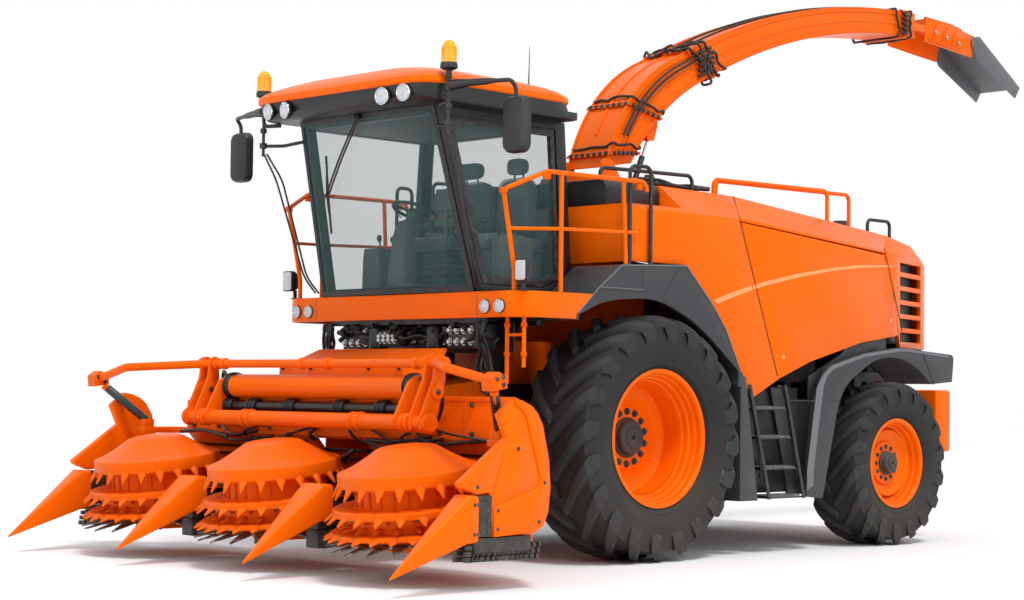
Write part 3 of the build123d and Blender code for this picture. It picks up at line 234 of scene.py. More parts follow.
def both_sides(forms):
    """The given forms and their mirror images."""
    return list(forms) + [mirrored(form) for form in forms]


# %% [markdown]
# ## From forms to a piece
# A piece is one mesh object at the origin. Its edges get a small bevel, because no pressed or
# welded part has knife edges, and smooth shading stops at the sharper corners. The modifiers are
# applied at once, so that the mesh holds what is seen.

# %% Meshes and pieces
SCENE = bpy.context.scene


def linked(name, mesh):
    """A new object at the origin that shows a mesh."""
    thing = bpy.data.objects.new(name, mesh)
    SCENE.collection.objects.link(thing)
    return thing


def applied(thing):
    """Replaces an object's modifiers with their result."""
    graph = bpy.context.evaluated_depsgraph_get()
    mesh = bpy.data.meshes.new_from_object(thing.evaluated_get(graph))
    thing.modifiers.clear()
    old, thing.data = thing.data, mesh
    if not old.users:
        bpy.data.meshes.remove(old)
    mesh.name = thing.name


def bevelled(thing, width, angle=32):
    """Rounds the edges of an object that are sharper than an angle in degrees."""
    if width:
        tool = thing.modifiers.new("edges", "BEVEL")
        tool.width, tool.segments, tool.limit_method = width, 2, "ANGLE"
        tool.angle_limit, tool.harden_normals = radians(angle), False
        applied(thing)


def softened(mesh, angle=34):
    """Shades a mesh smooth except across edges sharper than an angle in degrees."""
    work = bmesh.new()
    work.from_mesh(mesh)
    for face in work.faces:
        face.smooth = True
    for edge in work.edges:
        edge.smooth = len(edge.link_faces) == 2 and edge.calc_face_angle(0) < radians(angle)
    work.to_mesh(mesh)
    work.free()


def settled(thing, body, finish, replaced=()):
    """Gives a piece its material and its body, and hides the nodes that it stands for."""
    thing.data.materials.clear()
    thing.data.materials.append(finish)
    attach(thing, body)
    if replaced:
        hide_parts(*replaced)


def cleaned(mesh, gap, flat=None):
    """Merges a mesh's doubles and, if asked, its flat faces, and turns its faces outwards."""
    work = bmesh.new()
    work.from_mesh(mesh)
    bmesh.ops.remove_doubles(work, verts=work.verts, dist=gap)
    if flat:
        bmesh.ops.dissolve_limit(work, angle_limit=flat, verts=work.verts, edges=work.edges)
    bmesh.ops.recalc_face_normals(work, faces=work.faces)
    work.to_mesh(mesh)
    work.free()
    return mesh


def mesh_of(name, forms):
    """One mesh from several forms, with its doubles merged and its faces turned outwards."""
    points, faces = [], []
    for verts, polygons in forms:
        start = len(points)
        points += [tuple(v) for v in verts]
        faces += [[start + i for i in polygon] for polygon in polygons]
    mesh = bpy.data.meshes.new(name)
    mesh.from_pydata(points, [], faces)
    return cleaned(mesh, 1e-5)


def piece(name, forms, body, finish, bevel=0, replaced=(), angle=32):
    """Makes a finished piece from forms."""
    thing = linked(name, mesh_of(name, forms))
    bevelled(thing, bevel, angle)
    softened(thing.data)
    settled(thing, body, finish, replaced)


# %% [markdown]
# ## Repeats with Geometry Nodes
# Teeth round a disc, bolts round a hub and slats in a row are one shape repeated by a rule. A
# Geometry Nodes tree holds the rule: it puts a part on a row of points, each moved by a step and
# turned by an angle. A second tree stands a part on each point of a mesh, facing the way that the
# point's stored direction says, which suits bolts on a bracket.

# %% The two repeat trees
def new_tree(name, inputs):
    """A tree with named inputs and its two end nodes."""
    tree = bpy.data.node_groups.new(name, "GeometryNodeTree")
    tree.interface.new_socket("Geometry", in_out="INPUT", socket_type="NodeSocketGeometry")
    for label, kind in inputs:
        tree.interface.new_socket(label, in_out="INPUT", socket_type=kind)
    tree.interface.new_socket("Geometry", in_out="OUTPUT", socket_type="NodeSocketGeometry")
    entry, result = tree.nodes.new("NodeGroupInput"), tree.nodes.new("NodeGroupOutput")
    return tree, entry, result


def closing(tree, instances, entry, result):
    """Ends a tree in Realize Instances and Set Material."""
    real, paint = tree.nodes.new("GeometryNodeRealizeInstances"), tree.nodes.new("GeometryNodeSetMaterial")
    tree.links.new(instances, real.inputs["Geometry"])
    tree.links.new(real.outputs["Geometry"], paint.inputs["Geometry"])
    tree.links.new(entry.outputs["Material"], paint.inputs["Material"])
    tree.links.new(paint.outputs["Geometry"], result.inputs["Geometry"])


def row_tree():
    """A part set out Count times, each a Step further on and a Turn further round Z."""
    tree, entry, result = new_tree("row of parts", [
        ("Part", "NodeSocketObject"), ("Count", "NodeSocketInt"), ("Turn", "NodeSocketFloat"),
        ("Step", "NodeSocketVector"), ("Material", "NodeSocketMaterial")])
    make, link = tree.nodes.new, tree.links.new
    row, number = make("GeometryNodePoints"), make("GeometryNodeInputIndex")
    info = make("GeometryNodeObjectInfo")
    step, turn = make("ShaderNodeVectorMath"), make("ShaderNodeMath")
    step.operation, turn.operation = "SCALE", "MULTIPLY"
    link(entry.outputs["Step"], step.inputs[0])
    link(number.outputs["Index"], step.inputs["Scale"])
    link(entry.outputs["Turn"], turn.inputs[0])
    link(number.outputs["Index"], turn.inputs[1])
    spin, stand = make("ShaderNodeCombineXYZ"), make("GeometryNodeInstanceOnPoints")
    link(turn.outputs[0], spin.inputs["Z"])
    link(entry.outputs["Count"], row.inputs["Count"])
    link(step.outputs["Vector"], row.inputs["Position"])
    link(entry.outputs["Part"], info.inputs["Object"])
    link(row.outputs["Points"], stand.inputs["Points"])
    link(info.outputs["Geometry"], stand.inputs["Instance"])
    link(spin.outputs["Vector"], stand.inputs["Rotation"])
    closing(tree, stand.outputs["Instances"], entry, result)
    return tree


def stud_tree():
    """A part stood on each point of the mesh, with its Z along the stored direction 'facing'."""
    tree, entry, result = new_tree("parts on points", [
        ("Part", "NodeSocketObject"), ("Material", "NodeSocketMaterial")])
    make, link = tree.nodes.new, tree.links.new
    facing, turn = make("GeometryNodeInputNamedAttribute"), make("FunctionNodeAlignRotationToVector")
    facing.data_type, turn.axis = "FLOAT_VECTOR", "Z"
    facing.inputs["Name"].default_value = "facing"
    info, stand = make("GeometryNodeObjectInfo"), make("GeometryNodeInstanceOnPoints")
    link(entry.outputs["Part"], info.inputs["Object"])
    link(facing.outputs["Attribute"], turn.inputs["Vector"])
    link(entry.outputs["Geometry"], stand.inputs["Points"])
    link(info.outputs["Geometry"], stand.inputs["Instance"])
    link(turn.outputs["Rotation"], stand.inputs["Rotation"])
    closing(tree, stand.outputs["Instances"], entry, result)
    return tree


ROWS, STUDS = row_tree(), stud_tree()


def run_tree(tree, values, host_mesh):
    """Runs a tree on a mesh and returns the result as a form."""
    host = linked("host", host_mesh)
    tool = host.modifiers.new("repeat", "NODES")
    tool.node_group = tree
    sockets = {s.name: s.identifier for s in tree.interface.items_tree if s.in_out == "INPUT"}
    for label, value in values.items():
        tool[sockets[label]] = value
    graph = bpy.context.evaluated_depsgraph_get()
    mesh = bpy.data.meshes.new_from_object(host.evaluated_get(graph))
    form = [v.co.copy() for v in mesh.vertices], [list(p.vertices) for p in mesh.polygons]
    bpy.data.objects.remove(host)
    bpy.data.meshes.remove(mesh)
    return form


def repeated(part, count, turn=0.0, step=(0, 0, 0)):
    """A form repeated in a row or round Z by the tree of rows."""
    pattern = linked("pattern", mesh_of("pattern", [part]))
    form = run_tree(ROWS, {"Part": pattern, "Count": count, "Turn": turn, "Step": step},
                    bpy.data.meshes.new("row"))
    bpy.data.objects.remove(pattern)
    return form


def ring_of(part, count, matrix=None, start=0.0):
    """A form repeated evenly round Z, and then moved."""
    form = repeated(moved(part, Matrix.Rotation(start, 4, "Z")), count, 2 * pi / count)
    return moved(form, matrix) if matrix else form


def studs(part, places):
    """A form stood on each of the places, given as (point, direction)."""
    pattern = linked("pattern", mesh_of("pattern", [part]))
    mesh = bpy.data.meshes.new("places")
    mesh.from_pydata([tuple(p) for p, _ in places], [], [])
    facing = mesh.attributes.new("facing", "FLOAT_VECTOR", "POINT")
    for i, (_, direction) in enumerate(places):
        facing.data[i].vector = Vector(direction)
    form = run_tree(STUDS, {"Part": pattern}, mesh)
    bpy.data.objects.remove(pattern)
    return form


def facing_matrix(centre, direction):
    """A matrix that puts Z along a direction at a centre."""
    along, across, up = axes_for(direction)
    turn = Matrix((across, up, along)).transposed().to_4x4()
    return Matrix.Translation(Vector(centre)) @ turn


# %% [markdown]
# ## Bolts
# A bolt head is a hexagon on a washer. It is drawn once, standing on Z, and the trees above set
# out every ring and row of them.

# %% The bolt head
def bolt(width, height):
    """A hexagon head of a width across corners, on a thin washer."""
    washer = turned(drum(width * 0.72, 0, height * 0.25), steps=12)
    head = turned([(height * 0.2, 0), (height * 0.2, width / 2), (height * 0.9, width / 2),
                   (height, width * 0.42), (height, 0)], steps=6)
    return washer[0] + head[0], washer[1] + [[len(washer[0]) + i for i in f] for f in head[1]]


BOLT_12, BOLT_20, BOLT_30 = bolt(0.019, 0.009), bolt(0.03, 0.015), bolt(0.042, 0.026)

# %% [markdown]
# ## Finishes
# Three effects are shared by every finish but the glass: dust that settles on what faces up and on what is
# near the ground, wear along the edges, and grain, a fine unevenness of the surface. Each is a
# group of shader nodes that only puts out colours, masks, values or normals; the shader itself
# stays in each material, so each finish can still be tuned by itself.

# %% The shared effects
def shader_group(name, inputs, outputs):
    """An empty group of shader nodes with named inputs and outputs."""
    group = bpy.data.node_groups.new(name, "ShaderNodeTree")
    for label, kind, value in inputs:
        socket = group.interface.new_socket(label, in_out="INPUT", socket_type=kind)
        if value is not None:
            socket.default_value = value
    for label, kind in outputs:
        group.interface.new_socket(label, in_out="OUTPUT", socket_type=kind)
    return group, group.nodes.new("NodeGroupInput"), group.nodes.new("NodeGroupOutput")


def operate(tree, operation, first, second, clamp=False):
    """A maths node in a tree; each of its two inputs is a socket or a number."""
    node = tree.nodes.new("ShaderNodeMath")
    node.operation, node.use_clamp = operation, clamp
    for socket, value in zip(node.inputs, (first, second)):
        if isinstance(value, (int, float)):
            socket.default_value = value
        elif value is not None:
            tree.links.new(value, socket)
    return node.outputs[0]


def tuned(node, **values):
    """Sets a node's own sockets by their names, with _ for a space."""
    for label, value in values.items():
        node.inputs[label.replace("_", " ")].default_value = value


def noise(tree, vector, scale, detail, roughness=0.55):
    """The value of a noise texture read at a vector."""
    node = tree.nodes.new("ShaderNodeTexNoise")
    tuned(node, Scale=scale, Detail=detail, Roughness=roughness)
    tree.links.new(vector, node.inputs["Vector"])
    return node.outputs["Fac"]


def blended(tree, mask, first, second):
    """A mix of two colours; each is a socket or a colour."""
    node = tree.nodes.new("ShaderNodeMix")
    node.data_type = "RGBA"
    tree.links.new(mask, node.inputs["Factor"])
    for name, value in (("A", first), ("B", second)):
        socket = [s for s in node.inputs if s.name == name and s.type == "RGBA"][0]
        if isinstance(value, tuple):
            socket.default_value = value
        else:
            tree.links.new(value, socket)
    return [s for s in node.outputs if s.type == "RGBA"][0]


VECTOR, FLOAT, COLOUR = "NodeSocketVector", "NodeSocketFloat", "NodeSocketColor"
MID_GREY, BARE_METAL, DUST_BROWN = (0.5, 0.5, 0.5, 1), (0.3, 0.3, 0.3, 1), (0.36, 0.29, 0.21, 1)


def masked(group, result, mask, first, second):
    """Ends a group of colour effects: two colours mixed by a mask, and the mask itself."""
    group.links.new(blended(group, mask, first, second), result.inputs["Colour"])
    group.links.new(mask, result.inputs["Mask"])
    return group


def dust_group():
    """Dust on what faces up and on what is low: colour in, dusty colour and mask out."""
    group, entry, result = shader_group("dust", [
        ("Vector", VECTOR, None), ("Colour", COLOUR, MID_GREY), ("Amount", FLOAT, 0.2),
        ("Height", FLOAT, 1.2)],
        [("Colour", COLOUR), ("Mask", FLOAT)])
    facts, place, up = (group.nodes.new(kind) for kind in
                        ("ShaderNodeNewGeometry", "ShaderNodeSeparateXYZ", "ShaderNodeSeparateXYZ"))
    group.links.new(entry.outputs["Vector"], place.inputs[0])
    group.links.new(facts.outputs["Normal"], up.inputs[0])
    share = operate(group, "DIVIDE", place.outputs["Z"], entry.outputs["Height"])
    low = operate(group, "SUBTRACT", 1.0, share, True)
    facing = operate(group, "MULTIPLY", operate(group, "MAXIMUM", up.outputs["Z"], 0.0), 0.55)
    where = operate(group, "ADD", operate(group, "MULTIPLY", low, 0.9), facing)
    patch = operate(group, "ADD", noise(group, entry.outputs["Vector"], 3.1, 6.0), 0.15)
    mask = operate(group, "MULTIPLY", operate(group, "MULTIPLY", where, patch), entry.outputs["Amount"], True)
    return masked(group, result, mask, entry.outputs["Colour"], DUST_BROWN)


def wear_group():
    """Wear along edges: colour in, worn colour and mask out."""
    group, entry, result = shader_group("wear", [
        ("Vector", VECTOR, None), ("Colour", COLOUR, MID_GREY), ("Under", COLOUR, BARE_METAL),
        ("Amount", FLOAT, 0.3)], [("Colour", COLOUR), ("Mask", FLOAT)])
    facts = group.nodes.new("ShaderNodeNewGeometry")
    patches = noise(group, entry.outputs["Vector"], 19.0, 6.0, 0.7)
    edge, spots = (
        operate(group, "MULTIPLY", operate(group, "SUBTRACT", value, threshold, True), gain, True)
        for value, threshold, gain in ((facts.outputs["Pointiness"], 0.53, 14.0), (patches, 0.47, 6.0)))
    mask = operate(group, "MULTIPLY", operate(group, "MULTIPLY", edge, spots), entry.outputs["Amount"], True)
    return masked(group, result, mask, entry.outputs["Colour"], entry.outputs["Under"])


def grain_group():
    """Fine unevenness: a scale and a strength in, a value around one and a normal out."""
    group, entry, result = shader_group("grain", [
        ("Vector", VECTOR, None), ("Scale", FLOAT, 60.0), ("Strength", FLOAT, 0.1)],
        [("Value", FLOAT), ("Normal", VECTOR)])
    texture, bump = group.nodes.new("ShaderNodeTexNoise"), group.nodes.new("ShaderNodeBump")
    tuned(texture, Detail=5.0)
    tuned(bump, Distance=0.003)
    group.links.new(entry.outputs["Vector"], texture.inputs["Vector"])
    group.links.new(entry.outputs["Scale"], texture.inputs["Scale"])
    group.links.new(texture.outputs["Fac"], bump.inputs["Height"])
    group.links.new(entry.outputs["Strength"], bump.inputs["Strength"])
    broad = noise(group, entry.outputs["Vector"], 2.3, 4.0)
    value = operate(group, "ADD", operate(group, "MULTIPLY", broad, 0.5), 0.75)
    group.links.new(value, result.inputs["Value"])
    group.links.new(bump.outputs["Normal"], result.inputs["Normal"])
    return group


DUST, WEAR, GRAIN = dust_group(), wear_group(), grain_group()

# %% [markdown]
# ## The materials
# Machine enamel is a coloured coat under a thin clear one. Plastics and rubber are duller and
# take more dust. A tread block that has been on a road is paler on its edges than in its grooves.
# All of them read Object coordinates, so no finish depends on how a mesh was unwrapped.

# %% One function for every finish
def rgb(red, green, blue):
    """A colour in steps of 0 to 255, turned into linear light."""
    return tuple(((v / 255 + 0.055) / 1.055) ** 2.4 if v > 10 else v / 3294
                 for v in (red, green, blue)) + (1,)


def started(name):
    """A new material: its tree, its Principled shader and the Object coordinates."""
    material = bpy.data.materials.new(name)
    material.use_nodes = True
    tree = material.node_tree
    place = tree.nodes.new("ShaderNodeTexCoord")
    return material, tree, tree.nodes["Principled BSDF"], place.outputs["Object"]


def finish(name, colour, rough, metal=0.0, coat=0.0, dust=0.2, wear=0.25, under=(120, 120, 122),
           grain=(90, 0.08), shade=0.06, **constants):
    """A material: base colour with broad shading, wear, dust, then one Principled shader."""
    material, tree, shader, vector = started(name)
    link, base = tree.links.new, rgb(*colour)
    darker = tuple(c * (1 - 2 * shade) for c in base[:3]) + (1,)
    tint = blended(tree, noise(tree, vector, 1.7, 5.0), base, darker)
    worn, dusty, fine = (tree.nodes.new("ShaderNodeGroup") for _ in range(3))
    worn.node_tree, dusty.node_tree, fine.node_tree = WEAR, DUST, GRAIN
    for node in (worn, dusty, fine):
        link(vector, node.inputs["Vector"])
    tuned(worn, Under=rgb(*under), Amount=wear)
    tuned(dusty, Amount=dust)
    tuned(fine, Scale=grain[0], Strength=grain[1])
    link(tint, worn.inputs["Colour"])
    link(worn.outputs["Colour"], dusty.inputs["Colour"])
    link(dusty.outputs["Colour"], shader.inputs["Base Color"])
    uneven = operate(tree, "MULTIPLY", fine.outputs["Value"], rough)
    link(operate(tree, "ADD", uneven, operate(tree, "MULTIPLY", dusty.outputs["Mask"], 0.6), True),
         shader.inputs["Roughness"])
    link(fine.outputs["Normal"], shader.inputs["Normal"])
    tuned(shader, Metallic=metal, Coat_Weight=coat, Coat_Roughness=0.12, **constants)
    return material


WARM_SHINE = {"Specular_Tint": (1.0, 0.42, 0.1, 1.0), "Specular_IOR_Level": 0.35}
ORANGE = finish("orange enamel", (250, 104, 0), 0.36, coat=0.02, dust=0.015, wear=0.06, under=(214, 140, 80),
                **WARM_SHINE)
WORN_ORANGE = finish("orange enamel, worn", (246, 99, 0), 0.42, dust=0.03, wear=0.45, under=(112, 84, 62),
                     shade=0.1, **WARM_SHINE)
# Painted highlight: the pale orange of the bright line along the hood's crease.
CREASE_HIGHLIGHT = finish("pale orange enamel", (255, 156, 82), 0.36, coat=0.3, dust=0.1)
GREY_PANEL = finish("grey moulded panel", (46, 48, 51), 0.46, dust=0.12, wear=0.2, grain=(260, 0.16))
# Painted highlight: the pale grey of the bright lines along the fenders' edges.
FENDER_HIGHLIGHT = finish("grey panel edge", (104, 105, 110), 0.42, dust=0.15, wear=0.1)
FLAP_GREY = finish("grey sheet", (92, 94, 97), 0.42, dust=0.2, wear=0.4, under=(150, 150, 150))
BLACK = finish("black enamel", (16, 16, 18), 0.38, dust=0.12, wear=0.3, under=(110, 108, 104))
PLASTIC = finish("black plastic", (19, 20, 21), 0.44, dust=0.12, wear=0.1, grain=(300, 0.15))
CAST = finish("cast iron", (52, 52, 54), 0.6, metal=0.35, dust=0.4, wear=0.4, under=(140, 136, 130),
              grain=(120, 0.5))
STEEL = finish("bright steel", (186, 186, 184), 0.26, metal=1.0, dust=0.05, wear=0.0)
KNIFE = finish("blade steel", (74, 72, 70), 0.36, metal=0.85, dust=0.3, wear=0.7, under=(190, 188, 182))
CHROME = finish("polished rod", (214, 216, 220), 0.1, metal=1.0, dust=0.0, wear=0.0, grain=(40, 0.01))
TYRE = finish("tyre rubber", (23, 24, 25), 0.78, dust=0.12, wear=0.5, under=(96, 95, 92), grain=(150, 0.4),
              shade=0.12)
LUG = finish("lug rubber", (33, 34, 35), 0.74, dust=0.1, wear=0.8, under=(104, 103, 100), grain=(150, 0.4))
FABRIC = finish("seat cloth", (96, 99, 102), 0.92, dust=0.0, wear=0.0, grain=(420, 0.9), Sheen_Weight=0.35)
LENS = finish("lamp lens", (196, 201, 205), 0.08, dust=0.05, wear=0.0, grain=(70, 0.3),
              Emission_Strength=0.06)
AMBER = finish("amber lens", (255, 168, 14), 0.12, dust=0.0, wear=0.0, Emission_Strength=0.12,
               Emission_Color=(1.0, 0.38, 0.01, 1.0))
RED_LENS = finish("red lens", (150, 18, 14), 0.18, dust=0.05, wear=0.0)
HOSE = finish("hose rubber", (20, 20, 21), 0.5, dust=0.15, wear=0.0)
INTERIOR = finish("trim", (84, 87, 89), 0.6, dust=0.0, wear=0.05, grain=(260, 0.2))


def glazing(name, colour, cover, edge):
    """Tinted glass: a thin cover of colour that closes up where the pane is seen edge on."""
    material, tree, shader, vector = started(name)
    lean, base = tree.nodes.new("ShaderNodeLayerWeight"), rgb(*colour)
    darker = tuple(c * 0.8 for c in base[:3]) + (1,)
    tree.links.new(blended(tree, noise(tree, vector, 0.9, 2.0), base, darker), shader.inputs["Base Color"])
    closing_up = operate(tree, "MULTIPLY", operate(tree, "POWER", lean.outputs["Facing"], 3.0), edge)
    tree.links.new(operate(tree, "ADD", closing_up, cover, True), shader.inputs["Alpha"])
    tuned(shader, Roughness=0.04)
    return material


GLASS = glazing("cab glass", (74, 117, 115), 0.14, 0.5)

# %% [markdown]
# ## Sheet metal and castings
# The frame's panels are right in size but have knife edges. A real panel is folded from sheet or
# moulded, so each edge has a radius that catches the light; that bright line along an edge is most
# of what makes a panel look like metal. Each node is copied, its small triangles are merged back
# into flat faces, and its edges are rounded by a bevel modifier that only takes real corners.

# %% Rounded copies of the frame's nodes
def dressed(name, material, bevel):
    """A rounded copy of a node that takes its place and rides its body."""
    thing = linked(name + "_skin", cleaned(frame["nodes"][name].data.copy(), 2e-5, radians(0.6)))
    bevelled(thing, bevel)
    softened(thing.data)
    settled(thing, frame["nodes"][name]["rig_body"], material, (name,))


def painted(name, material):
    """Puts a finish on a node that is shown as it is."""
    mesh = frame["nodes"][name].data
    for i in range(len(mesh.materials)):
        mesh.materials[i] = material
    for polygon in mesh.polygons:
        polygon.use_smooth = True
    mesh.set_sharp_from_angle(angle=radians(34))


PANELS = [  # slot, finish, and each node with its bevel width
    ("orange_paint", ORANGE, {
        "hood_front": 0.022, "hood_top": 0.012, "hood_rear": 0.012, "service_door_left": 0.008,
        "service_door_right": 0.008, "platform_band": 0.01, "counterweight": 0.05, "turret": 0.006,
        "spout_sides": 0.004, "deflector": 0.005}),
    ("orange_paint", WORN_ORANGE, {
        "chopper_housing": 0.01, "feeder_house": 0.006, "header_frame": 0.007, "guard_tube": 0.008}),
    ("grey_paint", GREY_PANEL, {"front_fenders": 0.012, "rear_fenders": 0.014}),
    ("black_paint", PLASTIC, {"side_tanks": 0.025, "air_intake": 0.012}),
    ("black_paint", BLACK, {
        "cab_frame": 0.008, "cab_door": 0.008, "main_frame": 0.006, "service_ladders": 0.004,
        "cab_deck": 0.006, "cooling_pack": 0.006}),
    ("black_paint", CAST, {"exhaust": 0.006}),
    ("flap_paint", FLAP_GREY, {"end_flap": 0.004}),
    ("cast_block", CAST, {
        "front_axle": 0.012, "rear_axle": 0.012, "rear_knuckle_left": 0.008, "rear_knuckle_right": 0.008,
        "engine": 0.012}),
]
AS_THEY_ARE = [
    (ORANGE, ("spout_top_plate", "spout_floor_plate", "handrails")), (CHROME, ("spout_rods", "header_rods")),
    (BLACK, ("spout_barrels", "header_barrels", "guard_posts")), (GLASS, ("cab_door_glass",))]
for slot_name, material, nodes in PANELS:
    for node, width in nodes.items():
        dressed(node, material, width)
for material, nodes in AS_THEY_ARE:
    for node in nodes:
        painted(node, material)
print("rounded copies:", sum(len(nodes) for _, _, nodes in PANELS))

# %% [markdown]
# ## Tyres
# A driven tyre on such a machine has a smooth carcass and two rows of chevron lugs, set half a
# pitch apart. Each lug starts near the middle, slopes back towards the shoulder and ends in a
# squared block on the sidewall. The carcass is a turned section; one lug is built by laying its
# section along that slope on the tyre's crown, and the row tree repeats it round the axle. The
# lugs reach exactly the radius of the frame's smooth tyre, so the machine stands at its height.

# %% Carcass and lugs
def crown_radius(tyre, share):
    """The carcass radius at a share of the half width, falling away at the shoulder."""
    return tyre["radius"] - tyre["depth"] * (0.8 + 0.55 * abs(share) ** 3)


def lug_section(tyre, share):
    """How a lug lies at a share of the half width: (sweep angle, half thickness, top radius, foot radius)."""
    lean = tyre["lean"] * share ** 1.15
    half = tyre["lug"] * (0.46 + 0.3 * share)
    top = tyre["radius"] - tyre["radius"] * 0.058 * max(0.0, share - 0.7) ** 1.5 / 0.164
    return lean, half, top, crown_radius(tyre, share) - 0.012


def lug_form(tyre, side):
    """One lug on one side of the tread, round Z, as a form."""
    points, faces = [], []
    shares = [0.02, 0.16, 0.32, 0.48, 0.64, 0.78, 0.9, 0.985]
    for share in shares:
        lean, half, top, foot = lug_section(tyre, share)
        across = side * share * tyre["half"]
        for radius, reach in ((foot, half * 1.28), (top - 0.012, half), (top, half * 0.78)):
            for sign in (1, -1):
                angle = lean + sign * reach / radius
                points.append(Vector((radius * cos(angle), radius * sin(angle), across)))
    # the end block, stepped down onto the sidewall
    lean, half, top, foot = lug_section(tyre, 1.0)
    for low, high, out in ((foot - 0.075, top - 0.028, tyre["half"] * 0.999),
                           (foot - 0.118, foot - 0.055, tyre["half"] * 0.965)):
        for radius, reach in ((low, half * 0.9), (high - 0.008, half * 0.98), (high, half * 0.8)):
            for sign in (1, -1):
                angle = lean * 1.04 + sign * reach / radius
                points.append(Vector((radius * cos(angle), radius * sin(angle), side * out)))
    ring, last = [0, 2, 4, 5, 3, 1], len(points) - 6
    for a in range(0, last, 6):
        b = a + 6
        faces += [[a + ring[i], a + ring[i + 1], b + ring[i + 1], b + ring[i]] for i in range(5)]
        faces.append([a + 1, a, b, b + 1])
    faces += [ring, [last + i for i in ring][::-1]]
    return points, faces


def carcass_profile(tyre):
    """The carcass section from one bead to the other: (distance along the axle, radius)."""
    half, rim, foot = tyre["half"], tyre["rim"], tyre["radius"] - tyre["depth"] * 1.35
    side = [(-half * 0.8, rim + 0.001), (-half * 0.83, rim + 0.022), (-half * 0.8, rim + 0.03),
            (-half * 0.88, rim + 0.05), (-half * 0.905, rim + 0.058), (-half * 0.9, rim + 0.068)]
    waist = (foot + rim) / 2 - 0.01
    for t in (0.25, 0.5, 0.75, 1.0):
        side.append((-half * (0.9 + 0.065 * sin(t * pi / 2)), rim + 0.068 + (waist - rim - 0.068) * t))
    for t in (0.3, 0.6, 0.85):
        side.append((-half * (0.965 - 0.05 * t * t), waist + (foot - waist) * t))
    crown = [(share * half, crown_radius(tyre, share)) for share in (-0.92, -0.8, -0.65, -0.45, -0.2, 0.0)]
    left = side + crown
    return left + [(-x, r) for x, r in left[-2::-1]]


TYRES = {
    "front": {
        "radius": 0.98, "half": 0.34, "rim": 0.533, "depth": 0.066, "lug": 0.082, "lean": -0.4, "count": 20},
    "rear": {
        "radius": 0.735, "half": 0.27, "rim": 0.381, "depth": 0.05, "lug": 0.066, "lean": -0.42, "count": 18},
}
WHEELS = [  # place, side, side's name, middle x, station
    (place, side, label, middle, station)
    for place, middle, station in (("front", 1.16, 0.0), ("rear", 1.23, WHEELBASE))
    for side, label in ((1, "left"), (-1, "right"))]


def wheel_matrix(side, middle, station, height):
    """Puts a form built round Z on its axle, with Z pointing out of the machine."""
    turn = Matrix.Rotation(radians(90 * side), 4, "Y")
    return Matrix.Translation((side * middle, back(station), height)) @ turn


for place, side, name, middle, station in WHEELS:
    tyre, body = TYRES[place], f"{place}_wheel_{name}"
    matrix = wheel_matrix(side, middle, station, tyre["radius"])
    # the chevrons point the way that the wheel rolls, so the right tyre is the left one mirrored
    row = Matrix.Scale(side, 4, (0, 1, 0))
    carcass = turned(carcass_profile(tyre), steps=96)
    piece(f"{place}_carcass_{name}", [moved(carcass, matrix)], body, TYRE, 0,
          (f"{place}_tyre_{name}",))
    halves = ((1, 0.0), (-1, pi / tyre["count"]))  # the second row starts half a pitch further on
    lugs = [ring_of(lug_form(tyre, half), tyre["count"], matrix @ row, start) for half, start in halves]
    piece(f"{place}_lugs_{name}", lugs, body, LUG, 0.004)
print("lugs on a front tyre:", 2 * TYRES["front"]["count"])

# %% [markdown]
# ## Rims
# The rim is one rolled hoop with several steps, and a pressed disc welded deep inside it. The
# steps are what make a wheel look deep: each one throws its own shadow ring. Below the disc's
# middle the hub cap covers the bearing, with a ring of bolts round it.

# %% Rims, hubs and bolts
RIMS = {  # measures from the tyre's middle, outwards along the axle
    "front": {"half": 0.272, "dish": -0.12, "hub": 0.155, "bolts": 14, "ring": 0.212, "nut": BOLT_30},
    "rear": {"half": 0.216, "dish": 0.06, "hub": 0.104, "bolts": 12, "ring": 0.146, "nut": BOLT_20},
}


def rim_steps(rim, r):
    """The outer face of a rim of a radius: the lip, its steps, the dished disc and the hub's seat."""
    half, dish = rim["half"], rim["dish"]
    return [
        (-half - 0.014, r - 0.01), (-half - 0.014, r + 0.022), (-half, r + 0.022), (-half, r - 0.001),
        (-half + 0.07, r - 0.003), (-half + 0.1, r - 0.048), (half - 0.1, r - 0.048),
        (half - 0.07, r - 0.003),
        (half, r - 0.001), (half, r + 0.022), (half + 0.008, r + 0.0225), (half + 0.014, r + 0.016),
        (half + 0.013, r - 0.006), (half - 0.004, r - 0.02), (half - 0.045, r - 0.022),
        (half - 0.055, r - 0.036),
        (half - 0.095, r - 0.04), (half - 0.105, r - 0.06), (half - 0.15, r - 0.064),
        (half - 0.158, r - 0.08),
        (dish + 0.075, r - 0.086), (dish + 0.055, r - 0.108), (dish + 0.03, r - 0.15),
        (dish + 0.018, r - 0.2), (dish + 0.03, rim["ring"] + 0.055), (dish + 0.045, rim["ring"] + 0.04),
        (dish + 0.045, rim["hub"] - 0.02), (dish - 0.02, rim["hub"] - 0.02),
        (dish - 0.03, rim["ring"] + 0.05),
        (dish - 0.01, r - 0.2), (dish + 0.01, r - 0.11), (dish + 0.06, r - 0.1), (half - 0.165, r - 0.096),
        (half - 0.175, r - 0.078), (-half + 0.1, r - 0.066), (-half + 0.06, r - 0.02),
        (-half - 0.01, r - 0.018), (-half - 0.014, r - 0.01),
    ]


def hub_cap(rim):
    """The hub cap: a stepped boss with a flange and a small centre hole."""
    hub, face = rim["hub"], rim["dish"] + 0.045
    return [(face, hub * 1.05), (face + 0.014, hub * 1.04), (face + 0.018, hub * 0.92),
            (face + 0.055, hub * 0.9),
            (face + 0.068, hub * 0.82), (face + 0.068, hub * 0.5), (face + 0.078, hub * 0.47),
            (face + 0.078, hub * 0.14), (face + 0.055, hub * 0.13), (face + 0.055, 0)]


